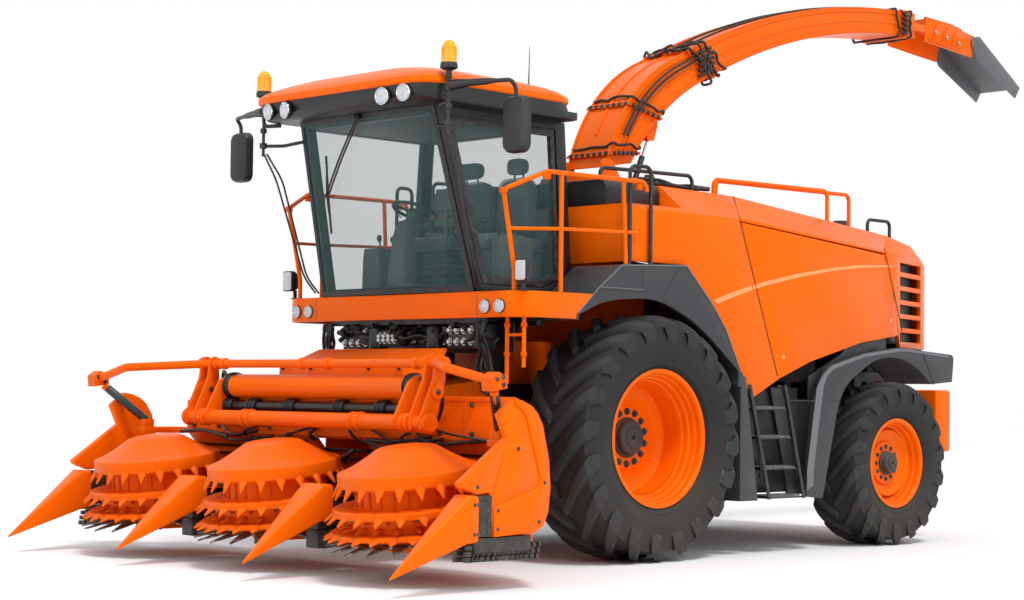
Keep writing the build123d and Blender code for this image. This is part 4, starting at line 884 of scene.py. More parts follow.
for place, side, name, middle, station in WHEELS:
    rim, body = RIMS[place], f"{place}_wheel_{name}"
    matrix = wheel_matrix(side, middle, station, TYRES[place]["radius"])
    hoop = moved(turned(rim_steps(rim, TYRES[place]["rim"]), steps=96), matrix)
    piece(f"{place}_rim_steps_{name}", [hoop], body, ORANGE, 0.002,
          (f"{place}_rim_{name}",), 25)
    nut = moved(rim["nut"], Matrix.Translation((rim["ring"], 0, rim["dish"] + 0.045)))
    forms = [moved(turned(hub_cap(rim), steps=48), matrix), ring_of(nut, rim["bolts"], matrix)]
    piece(f"{place}_hub_{name}", forms, body, CAST, 0.0015)

# %% [markdown]
# ## Rotors
# Each gathering rotor of a maize header is a stack turning on one hub: saw blades at the bottom
# cut the stem, two toothed discs hold it upright and carry it inwards, and a domed cover keeps
# leaves off the bearing. The cover is spun from one sheet, so it is a turned form. The teeth are
# pressed with a ridge down their middle for stiffness, and the row tree sets them out by number.

# %% Covers, toothed discs and blades
ROTOR_TILT, ROTOR_Z, ROTOR_STATION = radians(6.8), 0.395, -2.674
ROTORS = {"left": 1.523, "middle": 0.0, "right": -1.523}


def rotor_matrix(x):
    """A rotor's own axes: Z up its leaning axis from the lower disc."""
    return Matrix.Translation(at(x, ROTOR_STATION, ROTOR_Z)) @ Matrix.Rotation(ROTOR_TILT, 4, "X")


def tooth(root, tip, width, thick=0.012, ridge=0.014):
    """A ridged tooth in the plane across X: root and tip are (radius, height)."""
    (r0, z0), (r1, z1) = root, tip
    out = Vector((r1 - r0, 0, z1 - z0)).normalized()
    normal = Vector((-out.z, 0, out.x))
    base, end = Vector((r0, 0, z0)), Vector((r1, 0, z1))
    half = Vector((0, width / 2, 0))
    points = [base - half, base + half, end + Vector((0, 0.004, 0)), end - Vector((0, 0.004, 0)),
              base + normal * ridge, end - out * 0.012 + normal * 0.004]
    points += [p - normal * thick for p in points[:4]]
    faces = [[0, 4, 5, 3], [4, 1, 2, 5], [3, 5, 2], [6, 9, 8, 7], [0, 3, 9, 6], [3, 2, 8, 9], [2, 1, 7, 8],
             [1, 4, 0, 6, 7]]
    return points, faces


COVER = [(0.3, 0.455), (0.312, 0.487), (0.318, 0.4985), (0.33, 0.4995), (0.396, 0.4995), (0.404, 0.496),
         (0.409, 0.488), (0.414, 0.47), (0.424, 0.44), (0.442, 0.4), (0.468, 0.35), (0.5, 0.295),
         (0.526, 0.252), (0.545, 0.225), (0.556, 0.202), (0.561, 0.18), (0.562, 0.15), (0.566, 0.146),
         (0.566, 0.022), (0.556, 0.018), (0.556, 0)]
DRUM = [(-0.07, 0.3), (-0.065, 0.4), (-0.01, 0.425), (0.15, 0.425), (0.168, 0.4), (0.175, 0.372),
        (0.3, 0.372), (0.305, 0.455)]
LOWER_DISC = [(-0.007, 0.42), (-0.007, 0.56), (-0.022, 0.566), (-0.024, 0.572), (0.002, 0.572),
              (0.007, 0.564), (0.007, 0.42)]
UPPER_DISC = [(0.15, 0.42), (0.15, 0.535), (0.118, 0.541), (0.118, 0.549), (0.16, 0.549), (0.167, 0.541),
              (0.167, 0.37)]
TEETH = [  # root and tip as (radius, height), width and number, from the cover down
    ((0.488, 0.33), (0.545, 0.245), 0.078, 22), ((0.532, 0.14), (0.612, 0.085), 0.092, 22),
    ((0.545, -0.004), (0.628, -0.032), 0.105, 26), ((0.425, 0.045), (0.52, 0.03), 0.06, 20)]
rotor_orange = [turned(profile, steps=96) for profile in (COVER, DRUM, LOWER_DISC, UPPER_DISC)]
rotor_orange += [ring_of(tooth(*shape), number) for *shape, number in TEETH]
rotor_orange += [
    ring_of(cuboid((0.362, 0.386), (-0.012, 0.012), (0.172, 0.303)), 24),
    ring_of(cuboid((0.415, 0.465), (-0.035, 0.035), (0.075, 0.115)), 16),
]
rotor_black = [
    ring_of(tooth((0.4, -0.07), (0.636, -0.104), 0.125, 0.01, 0.012), 20),
    turned([(-0.084, 0.3), (-0.084, 0.43), (-0.071, 0.43), (-0.066, 0.3)]),
    ring_of(moved(BOLT_20, Matrix.Translation((0.458, 0, 0.094))), 20),
    ring_of(moved(BOLT_20, Matrix.Translation((0.395, 0, -0.066))), 18),
]
for place, x in ROTORS.items():
    body, matrix = f"rotor_{place}", rotor_matrix(x)
    stack, blades = ([moved(form, matrix) for form in forms] for forms in (rotor_orange, rotor_black))
    piece(f"{body}_stack", stack, body, WORN_ORANGE, 0.0015, (body,), 28)
    piece(f"{body}_blades", blades, body, KNIFE)
print("teeth on a rotor:", sum(row[-1] for row in TEETH))

# %% [markdown]
# ## Crop dividers and end shields
# A divider is a hollow nose of sheet steel that parts two rows of crop. It is lofted: a rounded
# rectangle where it meets the header shrinks to a blunt point near the ground. The end shields are
# flat plates stiffened by pressed steps, so each is one outline with raised fields standing on it.

# %% Noses, brackets and shields
NOSE_BASE, NOSE_TIP = -2.955, -3.578


def rounded_section(station, x, half, low, high, corner):
    """A rounded rectangle across the machine, as a ring of points."""
    corner = min(corner, half * 0.9, (high - low) * 0.45)
    ring = []
    for cx, cz, first in ((half - corner, high - corner, 0), (-half + corner, high - corner, 90),
                          (-half + corner, low + corner, 180), (half - corner, low + corner, 270)):
        for turn in (0, 30, 60, 90):
            angle = radians(first + turn)
            ring.append(at(x + cx + corner * cos(angle), station, cz + corner * sin(angle)))
    return ring


def lofted(rings):
    """A closed skin through rings of points, capped at both ends."""
    points, faces, count = [], [], len(rings[0])
    for k, ring in enumerate(rings):
        points += ring
        if k:
            faces += band((k - 1) * count, k * count, count)
    faces += [list(range(count))[::-1], [len(points) - count + i for i in range(count)]]
    return points, faces


def nose(x_base, x_tip, half, low, high, start):
    """A divider nose from its base to its tip; its first part keeps the base's size."""
    rings = [rounded_section(start, x_base, half * 0.97, low + 0.006, high - 0.006, 0.035)]
    for t, width in ((0.0, 1.0), (0.12, 0.93), (0.35, 0.7), (0.6, 0.44), (0.85, 0.19), (0.97, 0.07),
                     (1.0, 0.03)):
        station = NOSE_BASE + t * (NOSE_TIP - NOSE_BASE)
        z_low, z_high = low + (0.124 - low) * t, high + (0.14 - high) * t
        rings.append(rounded_section(station, x_base + (x_tip - x_base) * t, max(half * width, 0.004),
                                     z_low + 0.002, z_high - 0.002, 0.03 * (1 - t) + 0.002))
    return lofted(rings)


BACK_EDGE = [(-2.698, 0.369), (-2.311, 0.384), (-2.23, 0.425), (-2.185, 0.52), (-2.166, 0.68), (-2.181, 0.87),
             (-2.245, 1.114), (-2.299, 1.199), (-2.359, 1.248), (-2.445, 1.281), (-2.522, 1.292)]
SHIELD = BACK_EDGE + [(-2.649, 1.187), (-2.576, 1.031), (-3.005, 0.735), (-2.99, 0.7), (-2.858, 0.654),
                      (-2.733, 0.665)]
BORDER = BACK_EDGE + [(-2.512, 1.252), (-2.44, 1.216), (-2.402, 1.16), (-2.3, 0.87), (-2.262, 0.745),
                      (-2.285, 0.69), (-2.705, 0.57)]
FOLD = [(-2.72, 0.6), (-2.3, 0.712), (-2.318, 0.86), (-2.4, 1.06), (-2.545, 1.01), (-2.59, 0.985)]
ARM = [(-3.0, 0.733), (-2.988, 0.704), (-2.858, 0.658), (-2.735, 0.668), (-2.59, 0.985), (-2.576, 1.026)]
noses = [nose(0.76, 0.776, 0.125, 0.4, 0.67, -2.865), nose(2.32, 2.327, 0.08, 0.33, 0.657, -2.87)]
shields = [side_form(outline, low, high) for outline, low, high in (
    (SHIELD, 2.301, 2.358), (BORDER, 2.352, 2.3695), (ARM, 2.352, 2.369), (FOLD, 2.35, 2.364))]
shields.append(block((2.282, 2.301), (-2.48, -2.3), (0.42, 0.88)))
brackets = blocks(
    ((2.262, 2.362), (-2.868, -2.712), (0.372, 0.648)), ((0.705, 0.815), (-2.95, -2.862), (0.335, 0.592)),
    ((0.694, 0.83), (-2.958, -2.85), (0.208, 0.342)), ((2.225, 2.35), (-2.86, -2.33), (0.262, 0.366)))
SHIELD_BOLTS = [(-2.665, 0.545), (-2.665, 0.42), (-2.275, 0.455), (-2.225, 0.72), (-2.48, 0.955),
                (-2.855, 0.705)]
fixings = [(spot, LEFT) for x, spots in (
    (2.37, SHIELD_BOLTS), (2.399, [(station, z) for station in (-2.905, -2.87) for z in (0.395, 0.59)]),
    (2.362, [(station, z) for z in (0.41, 0.475, 0.54, 0.61) for station in (-2.845, -2.745)]))
           for spot in line_at(x, spots)]
piece("divider_noses", both_sides(noses), "header", ORANGE, 0.003, angle=24)
piece("end_shields", both_sides(shields), "header", ORANGE, 0.006, ("crop_dividers",))
piece("divider_brackets", both_sides(brackets), "header", BLACK, 0.008)
piece("divider_fixings", both_sides([studs(BOLT_12, fixings)]), "header", CAST)

# %% [markdown]
# ## Guard tube, drive shafts and wall
# The long bent tube bows tall maize forwards. It swings on two lobed brackets and is held by
# bolted clamps. Under it lie the box beam, the black drive shaft with its ribbed couplings and
# the lower tube. Clamps and couplings are turned rings set along the tubes.

# %% Clamps, couplings and pins
GUARD, LOWER, PIVOT, SHAFT = (-2.336, 1.536), (-2.465, 1.109), (-2.372, 1.33), (-2.317, 1.2)


def collar(x, axis, radius, width, ribs=0):
    """A ring round a tube that runs across the machine, with raised edges or ribs."""
    profile = [(-width / 2, 0), (-width / 2, radius), (-width / 2 + 0.006, radius + 0.006)]
    for k in range(ribs):
        start = -width / 2 + width * (k + 0.25) / ribs
        profile += [(start, radius), (start + width * 0.1 / ribs, radius + 0.012),
                    (start + width * 0.4 / ribs, radius + 0.012), (start + width * 0.5 / ribs, radius)]
    profile += [(width / 2 - 0.006, radius + 0.006), (width / 2, radius), (width / 2, 0)]
    return turned(profile, at(x, *axis), LEFT, 40)


frame_orange = [collar(x, GUARD, 0.04, 0.045) for x in (0.16, 1.16, 1.255, 1.46)]
frame_orange += [collar(x, LOWER, 0.064, 0.036) for x in (1.2, 1.245, 1.45, 0.62, 0.7)]
frame_orange += [disc_form(at(x, *axis), LEFT, 0.058, 0.016, 0.004, 28) for x in (1.288, 1.424, 1.396)
                 for axis in (GUARD, LOWER, PIVOT)]
frame_orange.append(disc_form(at(2.326, -2.735, 1.405), LEFT, 0.052, 0.118, 0.006, 28))
# the folded top edge and the stiffening ribs of the wall, the feeder's lip and the beam's round nose
frame_orange.append(block((0.0, 1.78), (-2.118, -2.106), (1.262, 1.299)))
frame_orange += [block((x, x + 0.02), (-2.122, -2.108), (0.99, 1.262)) for x in (0.9, 1.44, 1.9)]
frame_orange.append(block((0, 0.745), (-1.7, -1.66), (1.64, 1.662)))
frame_orange.append(tube([at(0, -2.245, 1.262), at(1.1, -2.245, 1.262)], 0.024, 0.02, 10))
frame_black = [collar(x, SHAFT, 0.052, 0.11, ribs) for x, ribs in ((1.085, 3), (0.3, 4), (0.78, 3))]
frame_black.append(turned([(0, 0.0395), (1.1, 0.0395)], at(0, *SHAFT), LEFT, 32))
frame_black.append(collar(1.085, (-2.29, 1.36), 0.096, 0.07, 2))
frame_black.append(tube([at(2.33, -2.676, 1.33), at(2.122, -2.423, 1.065)], 0.034, 0.02, 16))
frame_bolts = [(at(x, *axis), way) for axis in (GUARD, LOWER, PIVOT)
               for x, way in ((1.44, LEFT), (1.286, RIGHT))]
frame_bolts += [(at(x, *spot), way) for spot in ((-2.76, 1.42), (-2.7, 1.385), (-2.705, 1.435))
                for x, way in ((2.44, LEFT), (2.329, RIGHT))]
frame_bolts += [(at(x, -2.119, z), AHEAD) for x in (0.84, 1.18, 1.52, 1.86) for z in (1.03, 1.24)]
frame_bolts += [(at(x, -2.104, z), AHEAD) for x in (0.7, 0.35) for z in (1.345, 1.51)]
piece("guard_clamps", both_sides(frame_orange), "header", WORN_ORANGE, 0.002)
piece("header_shafts", both_sides(frame_black), "header", BLACK, 0.001)
piece("header_bolts", both_sides([studs(BOLT_20, frame_bolts)]), "header", CAST)

# %% [markdown]
# ## Feed chains and hoses of the header
# Behind and between the rotors the stems are passed on by black toothed drums and chains, and the
# drives are fed by hoses. They are seen mostly as a dark tangle, which is what random but seeded
# loops of hose, rows of cutter teeth and stacks of links give.

# %% Toothed drums, chains and hoses
DRUM_STATION = -2.16
seed(12)
tangle = []
for x in (0.762, -0.762, 1.9, -1.9, 0.0):
    for z, radius in ((0.46, 0.115), (0.55, 0.125), (0.64, 0.115)):
        tangle.append(turned(drum(radius * 0.8, 0, 0.018), at(x, DRUM_STATION, z), steps=32))
        reach = radius * (1.25 if x else 0.95)  # the middle drum has less room in front of it
        fringe = tooth((radius * 0.7, 0.008), (reach, 0.008), 0.035, 0.008, 0.006)
        tangle.append(ring_of(fringe, 14, placed(x, DRUM_STATION, z)))
    tangle.append(turned(drum(0.05, 0, 0.34), at(x, DRUM_STATION, 0.38), steps=20))
spike = moved(tooth((0.0, 0.0), (0.075, 0.02), 0.04, 0.008, 0.008), Matrix.Rotation(radians(-90), 4, "Z"))
comb = repeated(spike, 78, 0.0, (0.05, 0, 0))
tangle += [moved(comb, placed(x, -1.996, z)) for x, z in ((-1.92, 0.8), (-1.9, 0.865))]
chain = repeated(cuboid((-0.016, 0.016), (-0.021, 0.021), (-0.016, 0.016)), 15, 0.35, (0, 0.046, 0))
for x in (0.762, 2.285):
    for k, z in enumerate((0.222, 0.262, 0.302)):
        for shift, station in ((-0.045, -2.92), (0.035, -2.905)):
            tangle += both_sides([moved(chain, placed(x + shift, station + 0.01 * k, z))])
for side in (1, -1):
    for _ in range(9):
        x0, x1 = side * uniform(0.2, 1.75), side * uniform(0.2, 1.75)
        z0 = uniform(0.9, 1.1)
        route = [at(x0, -2.125, z0), at((x0 + x1) / 2, -2.2 - uniform(0, 0.05), z0 - 0.05),
                 at(x1, -2.125, uniform(0.92, 1.05))]
        tangle.append(tube(route, choice((0.01, 0.013, 0.016)), 0.12, 8))
    tangle.append(tube([at(side * 1.16, -2.3, 1.42), at(side * 1.3, -2.25, 1.5), at(side * 1.33, -2.22, 1.25),
                        at(side * 1.18, -2.14, 1.12)], 0.014, 0.1, 8))
tangle.append(tube([at(-1.62, -2.42, 0.985), at(-1.2, -2.52, 1.01), at(-0.95, -2.45, 0.96)], 0.017, 0.1, 10))
fang = tooth((0.0, 0.0), (0.05, 0.012), 0.045, 0.01, 0.01)
for z in (0.315, 0.375, 0.445, 0.515, 0.585):
    guide = [block((0.718, 0.806), (-2.85, -2.33), (z, z + 0.014))]
    for x, turn in ((0.806, 0), (0.718, 180)):
        row = repeated(moved(fang, Matrix.Rotation(radians(turn), 4, "Z")), 11, 0, (0, 0.047, 0))
        guide.append(moved(row, placed(x, -2.83, z + 0.003)))
    guide.append(block((0.735, 0.79), (-2.84, -2.36), (z + 0.014, z + 0.05)))
    tangle += both_sides(guide)
for _ in range(40):
    x0, z0 = uniform(-1.85, 1.85), uniform(0.55, 0.86)
    route = [at(x0, -2.12, z0)]
    for station, wide, tall in ((-2.165, 0.12, 0.06), (-2.12, 0.22, 0.1)):
        route.append(at(x0 + uniform(-wide, wide), station, z0 + uniform(-tall, tall)))
    tangle.append(tube(route, choice((0.01, 0.014, 0.018)), 0.06, 8))
piece("feed_chains", tangle, "header", BLACK)

# %% [markdown]
# ## The cab's roof and what stands on it
# A cab roof is a shallow moulded dome over a dark visor that shades the glass and holds the work
# lamps. Both are lofted through rounded plans, one height after another. The beacons stand on the
# posts that also carry the mirrors, so that nothing has to be screwed to the moulding.

# %% Roof, visor, beacons and mirrors
def plan_ring(z, front_half, rear_half, front, rear, corner, steps=7):
    """A four-sided plan at a height, with its corners rounded."""
    corners = [Vector(p) for p in ((-front_half, front), (front_half, front), (rear_half, rear),
                                   (-rear_half, rear))]
    ring = []
    for i, here in enumerate(corners):
        first = here + (corners[i - 1] - here).normalized() * corner
        last = here + (corners[(i + 1) % 4] - here).normalized() * corner
        for k in range(steps + 1):
            t = k / steps
            spot = first * (1 - t) ** 2 + here * 2 * t * (1 - t) + last * t * t
            ring.append(at(spot.x, spot.y, z))
    return ring


ROOF = [  # height, half width in front, half width behind, front and rear stations, corner
    (3.622, 1.084, 0.996, -2.214, -0.49, 0.3), (3.634, 1.096, 1.007, -2.227, -0.482, 0.3),
    (3.672, 1.098, 1.008, -2.228, -0.482, 0.31), (3.705, 1.078, 0.988, -2.2, -0.54, 0.33),
    (3.735, 1.01, 0.925, -2.15, -0.61, 0.36), (3.765, 0.9, 0.83, -2.09, -0.68, 0.38),
    (3.795, 0.755, 0.69, -2.005, -0.775, 0.36), (3.82, 0.57, 0.52, -1.89, -0.9, 0.3),
    (3.836, 0.36, 0.33, -1.72, -1.05, 0.2)]
VISOR = [
    (3.497, 1.003, 1.002, -2.045, -0.516, 0.06), (3.505, 1.022, 1.003, -2.105, -0.51, 0.12),
    (3.53, 1.04, 1.004, -2.16, -0.505, 0.2), (3.57, 1.055, 1.005, -2.192, -0.5, 0.26),
    (3.618, 1.072, 0.998, -2.206, -0.496, 0.3), (3.634, 1.072, 0.998, -2.206, -0.496, 0.3)]
piece("roof_shell", [lofted([plan_ring(*row) for row in ROOF])], "chassis", ORANGE, 0,
      ("cab_roof",))
piece("roof_visor", [lofted([plan_ring(*row) for row in VISOR])], "chassis", PLASTIC)

POST, MIRROR_X = (1.118, -2.018), 1.655
foot = at(*POST, 3.716)
bases = [turned([(0, 0), (0, 0.045), (0.012, 0.066), (0.04, 0.0655), (0.046, 0.062), (0.052, 0.062),
                 (0.052, 0)],
                foot, steps=40),
         turned([(-0.045, 0), (-0.045, 0.022), (-0.006, 0.024), (0.0, 0.044), (0.0, 0)], foot, steps=24)]
flute = cuboid((0.0525, 0.0575), (-0.0016, 0.0016), (0.06, 0.172))
domes = [turned([(0.05, 0.0), (0.05, 0.0575), (0.15, 0.0535), (0.19, 0.047), (0.21, 0.034),
                 (0.219, 0.018), (0.2195, 0)], foot, steps=40), ring_of(flute, 20, Matrix.Translation(foot))]
posts = [tube([at(0.965, -1.965, 3.48), at(*POST, 3.48), foot], 0.016, 0.05, 14),
         tube([at(*POST, 3.5), at(*POST, 3.235)], 0.013, 0.01, 12)]
for z, radius, height in ((3.56, 0.031, 0.06), (3.425, 0.027, 0.04), (3.3, 0.031, 0.045),
                          (3.65, 0.025, 0.025)):
    posts.append(turned([(0, 0), (0, radius - 0.004), (0.005, radius), (height - 0.005, radius),
                         (height, radius - 0.004), (height, 0)], at(*POST, z), steps=24))
posts.append(tube([at(*POST, 3.32), at(0.985, -1.915, 3.32), at(0.812, -1.85, 3.345)], 0.014, 0.03, 10))
posts.append(tube([at(*POST, 3.6), at(1.25, -1.99, 3.606), at(1.48, -1.935, 3.606), at(1.655, -1.895, 3.602),
                   at(1.657, -1.846, 3.55), at(1.657, -1.842, 3.44)],
                  lambda t: 0.04 - 0.024 * min(1.0, t * 2.1), 0.05, 14))
for drift in (0.0, 0.035):
    posts.append(tube([at(1.118 - drift, -2.01, 3.255), at(1.085 - drift, -1.905 + drift, 3.05),
                       at(1.035 - drift, -1.64, 2.26), at(0.96, -1.575 + drift, 2.13)], 0.0085, 0.08, 8))
MIRROR = [  # station, half width, foot, head and corner of the shell
    (-1.88, 0.094, 3.1, 3.466, 0.05), (-1.873, 0.106, 3.086, 3.479, 0.056),
    (-1.85, 0.1165, 3.075, 3.489, 0.062),
    (-1.806, 0.119, 3.073, 3.491, 0.064), (-1.801, 0.115, 3.077, 3.487, 0.06)]
shell = lofted([rounded_section(station, MIRROR_X, *sizes) for station, *sizes in MIRROR])
plate = lofted([rounded_section(station, MIRROR_X, 0.106, 3.086, 3.478, 0.055)
                for station in (-1.802, -1.798)])
whip = [turned([(0, 0), (0, 0.022), (0.018, 0.02), (0.03, 0.008), (0.03, 0)], at(0.86, -0.93, 3.725),
               steps=16),
        tube([at(0.86, -0.93, 3.75), at(0.862, -0.925, 4.06)], lambda t: 0.006 - 0.004 * t, 0.01, 8)]
piece("beacon_domes", both_sides(domes), "chassis", AMBER, 0, ("beacons",))
piece("beacon_bases", both_sides(bases), "chassis", PLASTIC)
piece("mirror_posts", both_sides(posts), "chassis", BLACK)
piece("mirror_shells", both_sides([shell]), "chassis", PLASTIC, 0, ("mirrors",))
piece("mirror_glass", both_sides([plate]), "chassis", CHROME)
piece("radio_whip", whip, "chassis", BLACK)

# %% [markdown]
# ## Glass
# The windscreen is one bulged sheet bonded to the front of the frame, so the posts behind it are
# seen through the glass, and a black printed border hides the glue. The side and rear panes sit
# in their openings. Each pane is a thin closed slab, tinted a little at each of its two faces.
# The cab's front and sides both lean, so one rule gives its width and one its front at a height.

# %% Windscreen, panes and wipers
SILL_Z, CAB_TALL, SCREEN_BULGE = 2.095, 1.405, 0.034


def cab_half(z):
    """Half the cab's width at a height."""
    return 0.915 - 0.104 * (z - SILL_Z) / CAB_TALL


def screen_station(z):
    """The windscreen's station at a height."""
    return -1.53 - 0.344 * (z - SILL_Z) / CAB_TALL


def on_screen(x, z, lift):
    """A point at a distance in front of the bulged windscreen."""
    u = x / cab_half(z)
    return at(x, screen_station(z) - SCREEN_BULGE * (1 - u * u) - lift, z)


def screen_patch(across, heights, lift, thickness, columns=14, rows=6):
    """A patch of the bulged windscreen; across runs from -1 to 1 over its width."""
    points, faces, row, layer = [], [], columns + 1, (columns + 1) * (rows + 1)
    for out in (lift, lift + thickness):
        for j in range(rows + 1):
            z = heights[0] + (heights[1] - heights[0]) * j / rows
            for i in range(columns + 1):
                u = across[0] + (across[1] - across[0]) * i / columns
                points.append(at((cab_half(z) - 0.004) * u,
                                 screen_station(z) - SCREEN_BULGE * (1 - u * u) - out, z))
    for j in range(rows):
        for i in range(columns):
            a = j * row + i
            near = [a, a + 1, a + row + 1, a + row]
            faces += [near, [layer + near[k] for k in (0, 3, 2, 1)]]
    rim = list(range(columns)) + [j * row + columns for j in range(rows)]
    rim += [rows * row + columns - i for i in range(columns)] + [(rows - j) * row for j in range(rows)]
    faces += [[a, b, b + layer, a + layer] for a, b in zip(rim, rim[1:] + rim[:1])]
    return points, faces


WINDOW = (2.155, 3.44)
side_window = [(screen_station(WINDOW[0]) + 0.09, WINDOW[0]), (-0.8, WINDOW[0]), (-0.58, 2.23),
               (-0.58, WINDOW[1]), (screen_station(WINDOW[1]) + 0.09, WINDOW[1])]
rear_window = [(side, WINDOW[high]) for side, high in ((-1, 0), (1, 0), (1, 1), (-1, 1))]
panes = [screen_patch((-0.985, 0.985), (2.12, 3.488), 0.002, 0.005),
         extruded([at(0.022 - cab_half(z), s, z) for s, z in side_window], (0.005, 0, 0)),
         extruded([at(side * (cab_half(z) - 0.068), -0.492, z) for side, z in rear_window], (0, -0.005, 0))]
border = [screen_patch(across, heights, 0.0085, 0.002, *grid) for across, heights, grid in (
    ((-1.0, -0.955), (2.098, 3.498), (1, 6)), ((0.955, 1.0), (2.098, 3.498), (1, 6)),
    ((-1.0, 1.0), (2.098, 2.14), (14, 1)), ((-1.0, 1.0), (3.462, 3.498), (14, 1)))]
piece("cab_panes", panes, "chassis", GLASS, 0, ("cab_glass",))
piece("screen_border", border, "chassis", PLASTIC)

WIPER_RODS = [  # points on the screen as (x, height, distance from the glass), and the rod's radius
    (((-0.03, 3.465, 0.045), (-0.3, 3.18, 0.06), (-0.59, 2.89, 0.045)), 0.008),
    (((0.006, 3.465, 0.045), (-0.264, 3.18, 0.06), (-0.554, 2.89, 0.045)), 0.008),
    (((-0.52, 3.21, 0.02), (-0.575, 2.9, 0.026), (-0.625, 2.6, 0.02)), 0.0095),
    (((-0.545, 3.09, 0.024), (-0.575, 2.905, 0.042), (-0.61, 2.72, 0.024)), 0.0055)]
wipers = [disc_form(on_screen(-0.03, 3.47, 0.01), (0, -1, 0.25), 0.026, 0.045, 0.004, 20)]
wipers += [tube([on_screen(*spot) for spot in spots], radius, 0.1, 8) for spots, radius in WIPER_RODS]
piece("wipers", wipers, "chassis", BLACK)

# %% [markdown]
# ## Seats
# A driver's seat is foam under cloth. Each pad starts as a rounded form a little smaller than its
# space; it is remeshed into even squares, blown up as cloth with air pressure inside, held back
# where it would swell too far, and smoothed once. The piping is laid on afterwards, because the
# remesh would swallow it.

# %% Pads, piping and bellows
def pad_rings(x, half, stations, heights, corner):
    """A rounded pad lofted from front to back."""
    (s0, s1), (z0, z1) = stations, heights
    return [rounded_section(s0 + (s1 - s0) * t, x, half * width, z0 + drop, z1 - drop, corner)
            for t, width, drop in ((0, 0.88, 0.018), (0.1, 0.955, 0.006), (0.3, 0.97, 0.003),
                                   (0.7, 0.97, 0.003), (0.9, 0.955, 0.006), (1, 0.88, 0.018))]


def stuffed(name, rings, cap, replaced=()):
    """A foam pad in cloth: remeshed, blown up, held back and smoothed."""
    thing = linked(name, mesh_of(name, [lofted(rings)]))
    skin = thing.modifiers.new("even squares", "REMESH")
    skin.mode, skin.voxel_size = "VOXEL", 0.012
    applied(thing)
    start = [v.co.copy() for v in thing.data.vertices]
    cloth = thing.modifiers.new("air", "CLOTH")
    cloth.settings.use_pressure, cloth.settings.uniform_pressure_force = True, 4.0
    cloth.settings.effector_weights.gravity = 0.0
    for number in range(1, 21):
        SCENE.frame_set(number)
    applied(thing)
    for vertex, place in zip(thing.data.vertices, start):
        move = vertex.co - place
        vertex.co = place + move * min(1.0, cap / max(move.length, 1e-9))
    SCENE.frame_set(1)
    smooth = thing.modifiers.new("smooth", "SUBSURF")
    smooth.levels = smooth.render_levels = 1
    applied(thing)
    softened(thing.data, 60)
    settled(thing, "chassis", FABRIC, replaced)
    return thing


PADS = [  # kind, share of the seat's half width, stations, heights, corner
    ("cushion", 1.0, (-1.115, -0.65), (2.492, 2.59), 0.045),
    ("back", 1.0, (-0.655, -0.566), (2.612, 3.066), 0.09),
    ("headrest", 0.5, (-0.648, -0.574), (3.092, 3.226), 0.045)]
FILL, SWELL, FOLD_TALL = 0.8, 0.008, 0.054
seams, seat_frames = [], []
for label, x, half in (("driver", -0.12, 0.26), ("passenger", 0.43, 0.2)):
    for kind, share, stations, heights, corner in PADS:
        rings = pad_rings(x, half * share, stations, heights, corner)
        stuffed(f"{label}_{kind}", rings, SWELL,
                ("seats",) if (label, kind) == ("driver", "cushion") else ())
        seams.append(tube(rings[1] + rings[1][:1], 0.005, 0.01, 6))
    for k in range(6):  # the folds of the bellows under the cushion
        z = 2.15 + FOLD_TALL * k
        seat_frames.append(lofted([
            [at(x + side * wide, s, level) for side, s in ((-1, low), (1, low), (1, high), (-1, high))]
            for level, wide, low, high in (
                (z, half * 0.52, -1.01, -0.74), (z + FOLD_TALL / 2, half * 0.62, -1.03, -0.72),
                (z + FOLD_TALL, half * 0.52, -1.01, -0.74))]))
    seat_frames.append(block((x - half * 0.6, x + half * 0.6), (-1.05, -0.7), (2.096, 2.15)))
    seat_frames.append(block((x - half * 0.7, x + half * 0.7), (-1.06, -0.66), (2.468, 2.492)))
    for stem in (x + half * 0.25, x - half * 0.25):
        seat_frames.append(tube([at(stem, -0.6, 3.05), at(stem, -0.605, 3.1)], 0.008, 0.01, 8))
piece("seat_piping", seams, "chassis", FABRIC)
piece("seat_bases", seat_frames, "chassis", INTERIOR, 0.004)

# %% [markdown]
# ## The driver's place
# The steering wheel stands on a moulded column, the controls are on consoles beside the seats, and
# the roof has a lining. Only their outlines count behind tinted glass, so each is a few rounded
# solids, but a cab without them looks like an empty box.

# %% Column, consoles, levers and lining
wheel_centre, wheel_axis = at(-0.12, -1.24, 2.785), Vector((0, 0.35, 0.94)).normalized()
RIM_RADIUS, GRIP = 0.181, 0.014
steering = [
    turned([(GRIP * sin(radians(30 * k)), RIM_RADIUS + GRIP * cos(radians(30 * k)))
            for k in range(13)], wheel_centre, wheel_axis, 48),
    turned([(-0.035, 0), (-0.035, 0.045), (0.004, 0.055), (0.014, 0.04), (0.014, 0)], wheel_centre,
           wheel_axis, 24)]
_, wheel_across, wheel_up = axes_for(wheel_axis)
for degrees in (90, 215, 325):
    spoke = on_circle(wheel_across, wheel_up, radians(degrees))
    hub_end = wheel_centre + spoke * 0.03 - wheel_axis * 0.012
    steering.append(tube([hub_end, wheel_centre + spoke * 0.178], 0.012, 0.01, 8))


def pedestal(x, corner, *plans):
    """A moulded upright lofted through plans of (height, half width, front station, rear station)."""
    rings = [plan_ring(z, wide, wide, front, rear, corner, 3) for z, wide, front, rear in plans]
    return moved(lofted(rings), Matrix.Translation((x, 0, 0)))


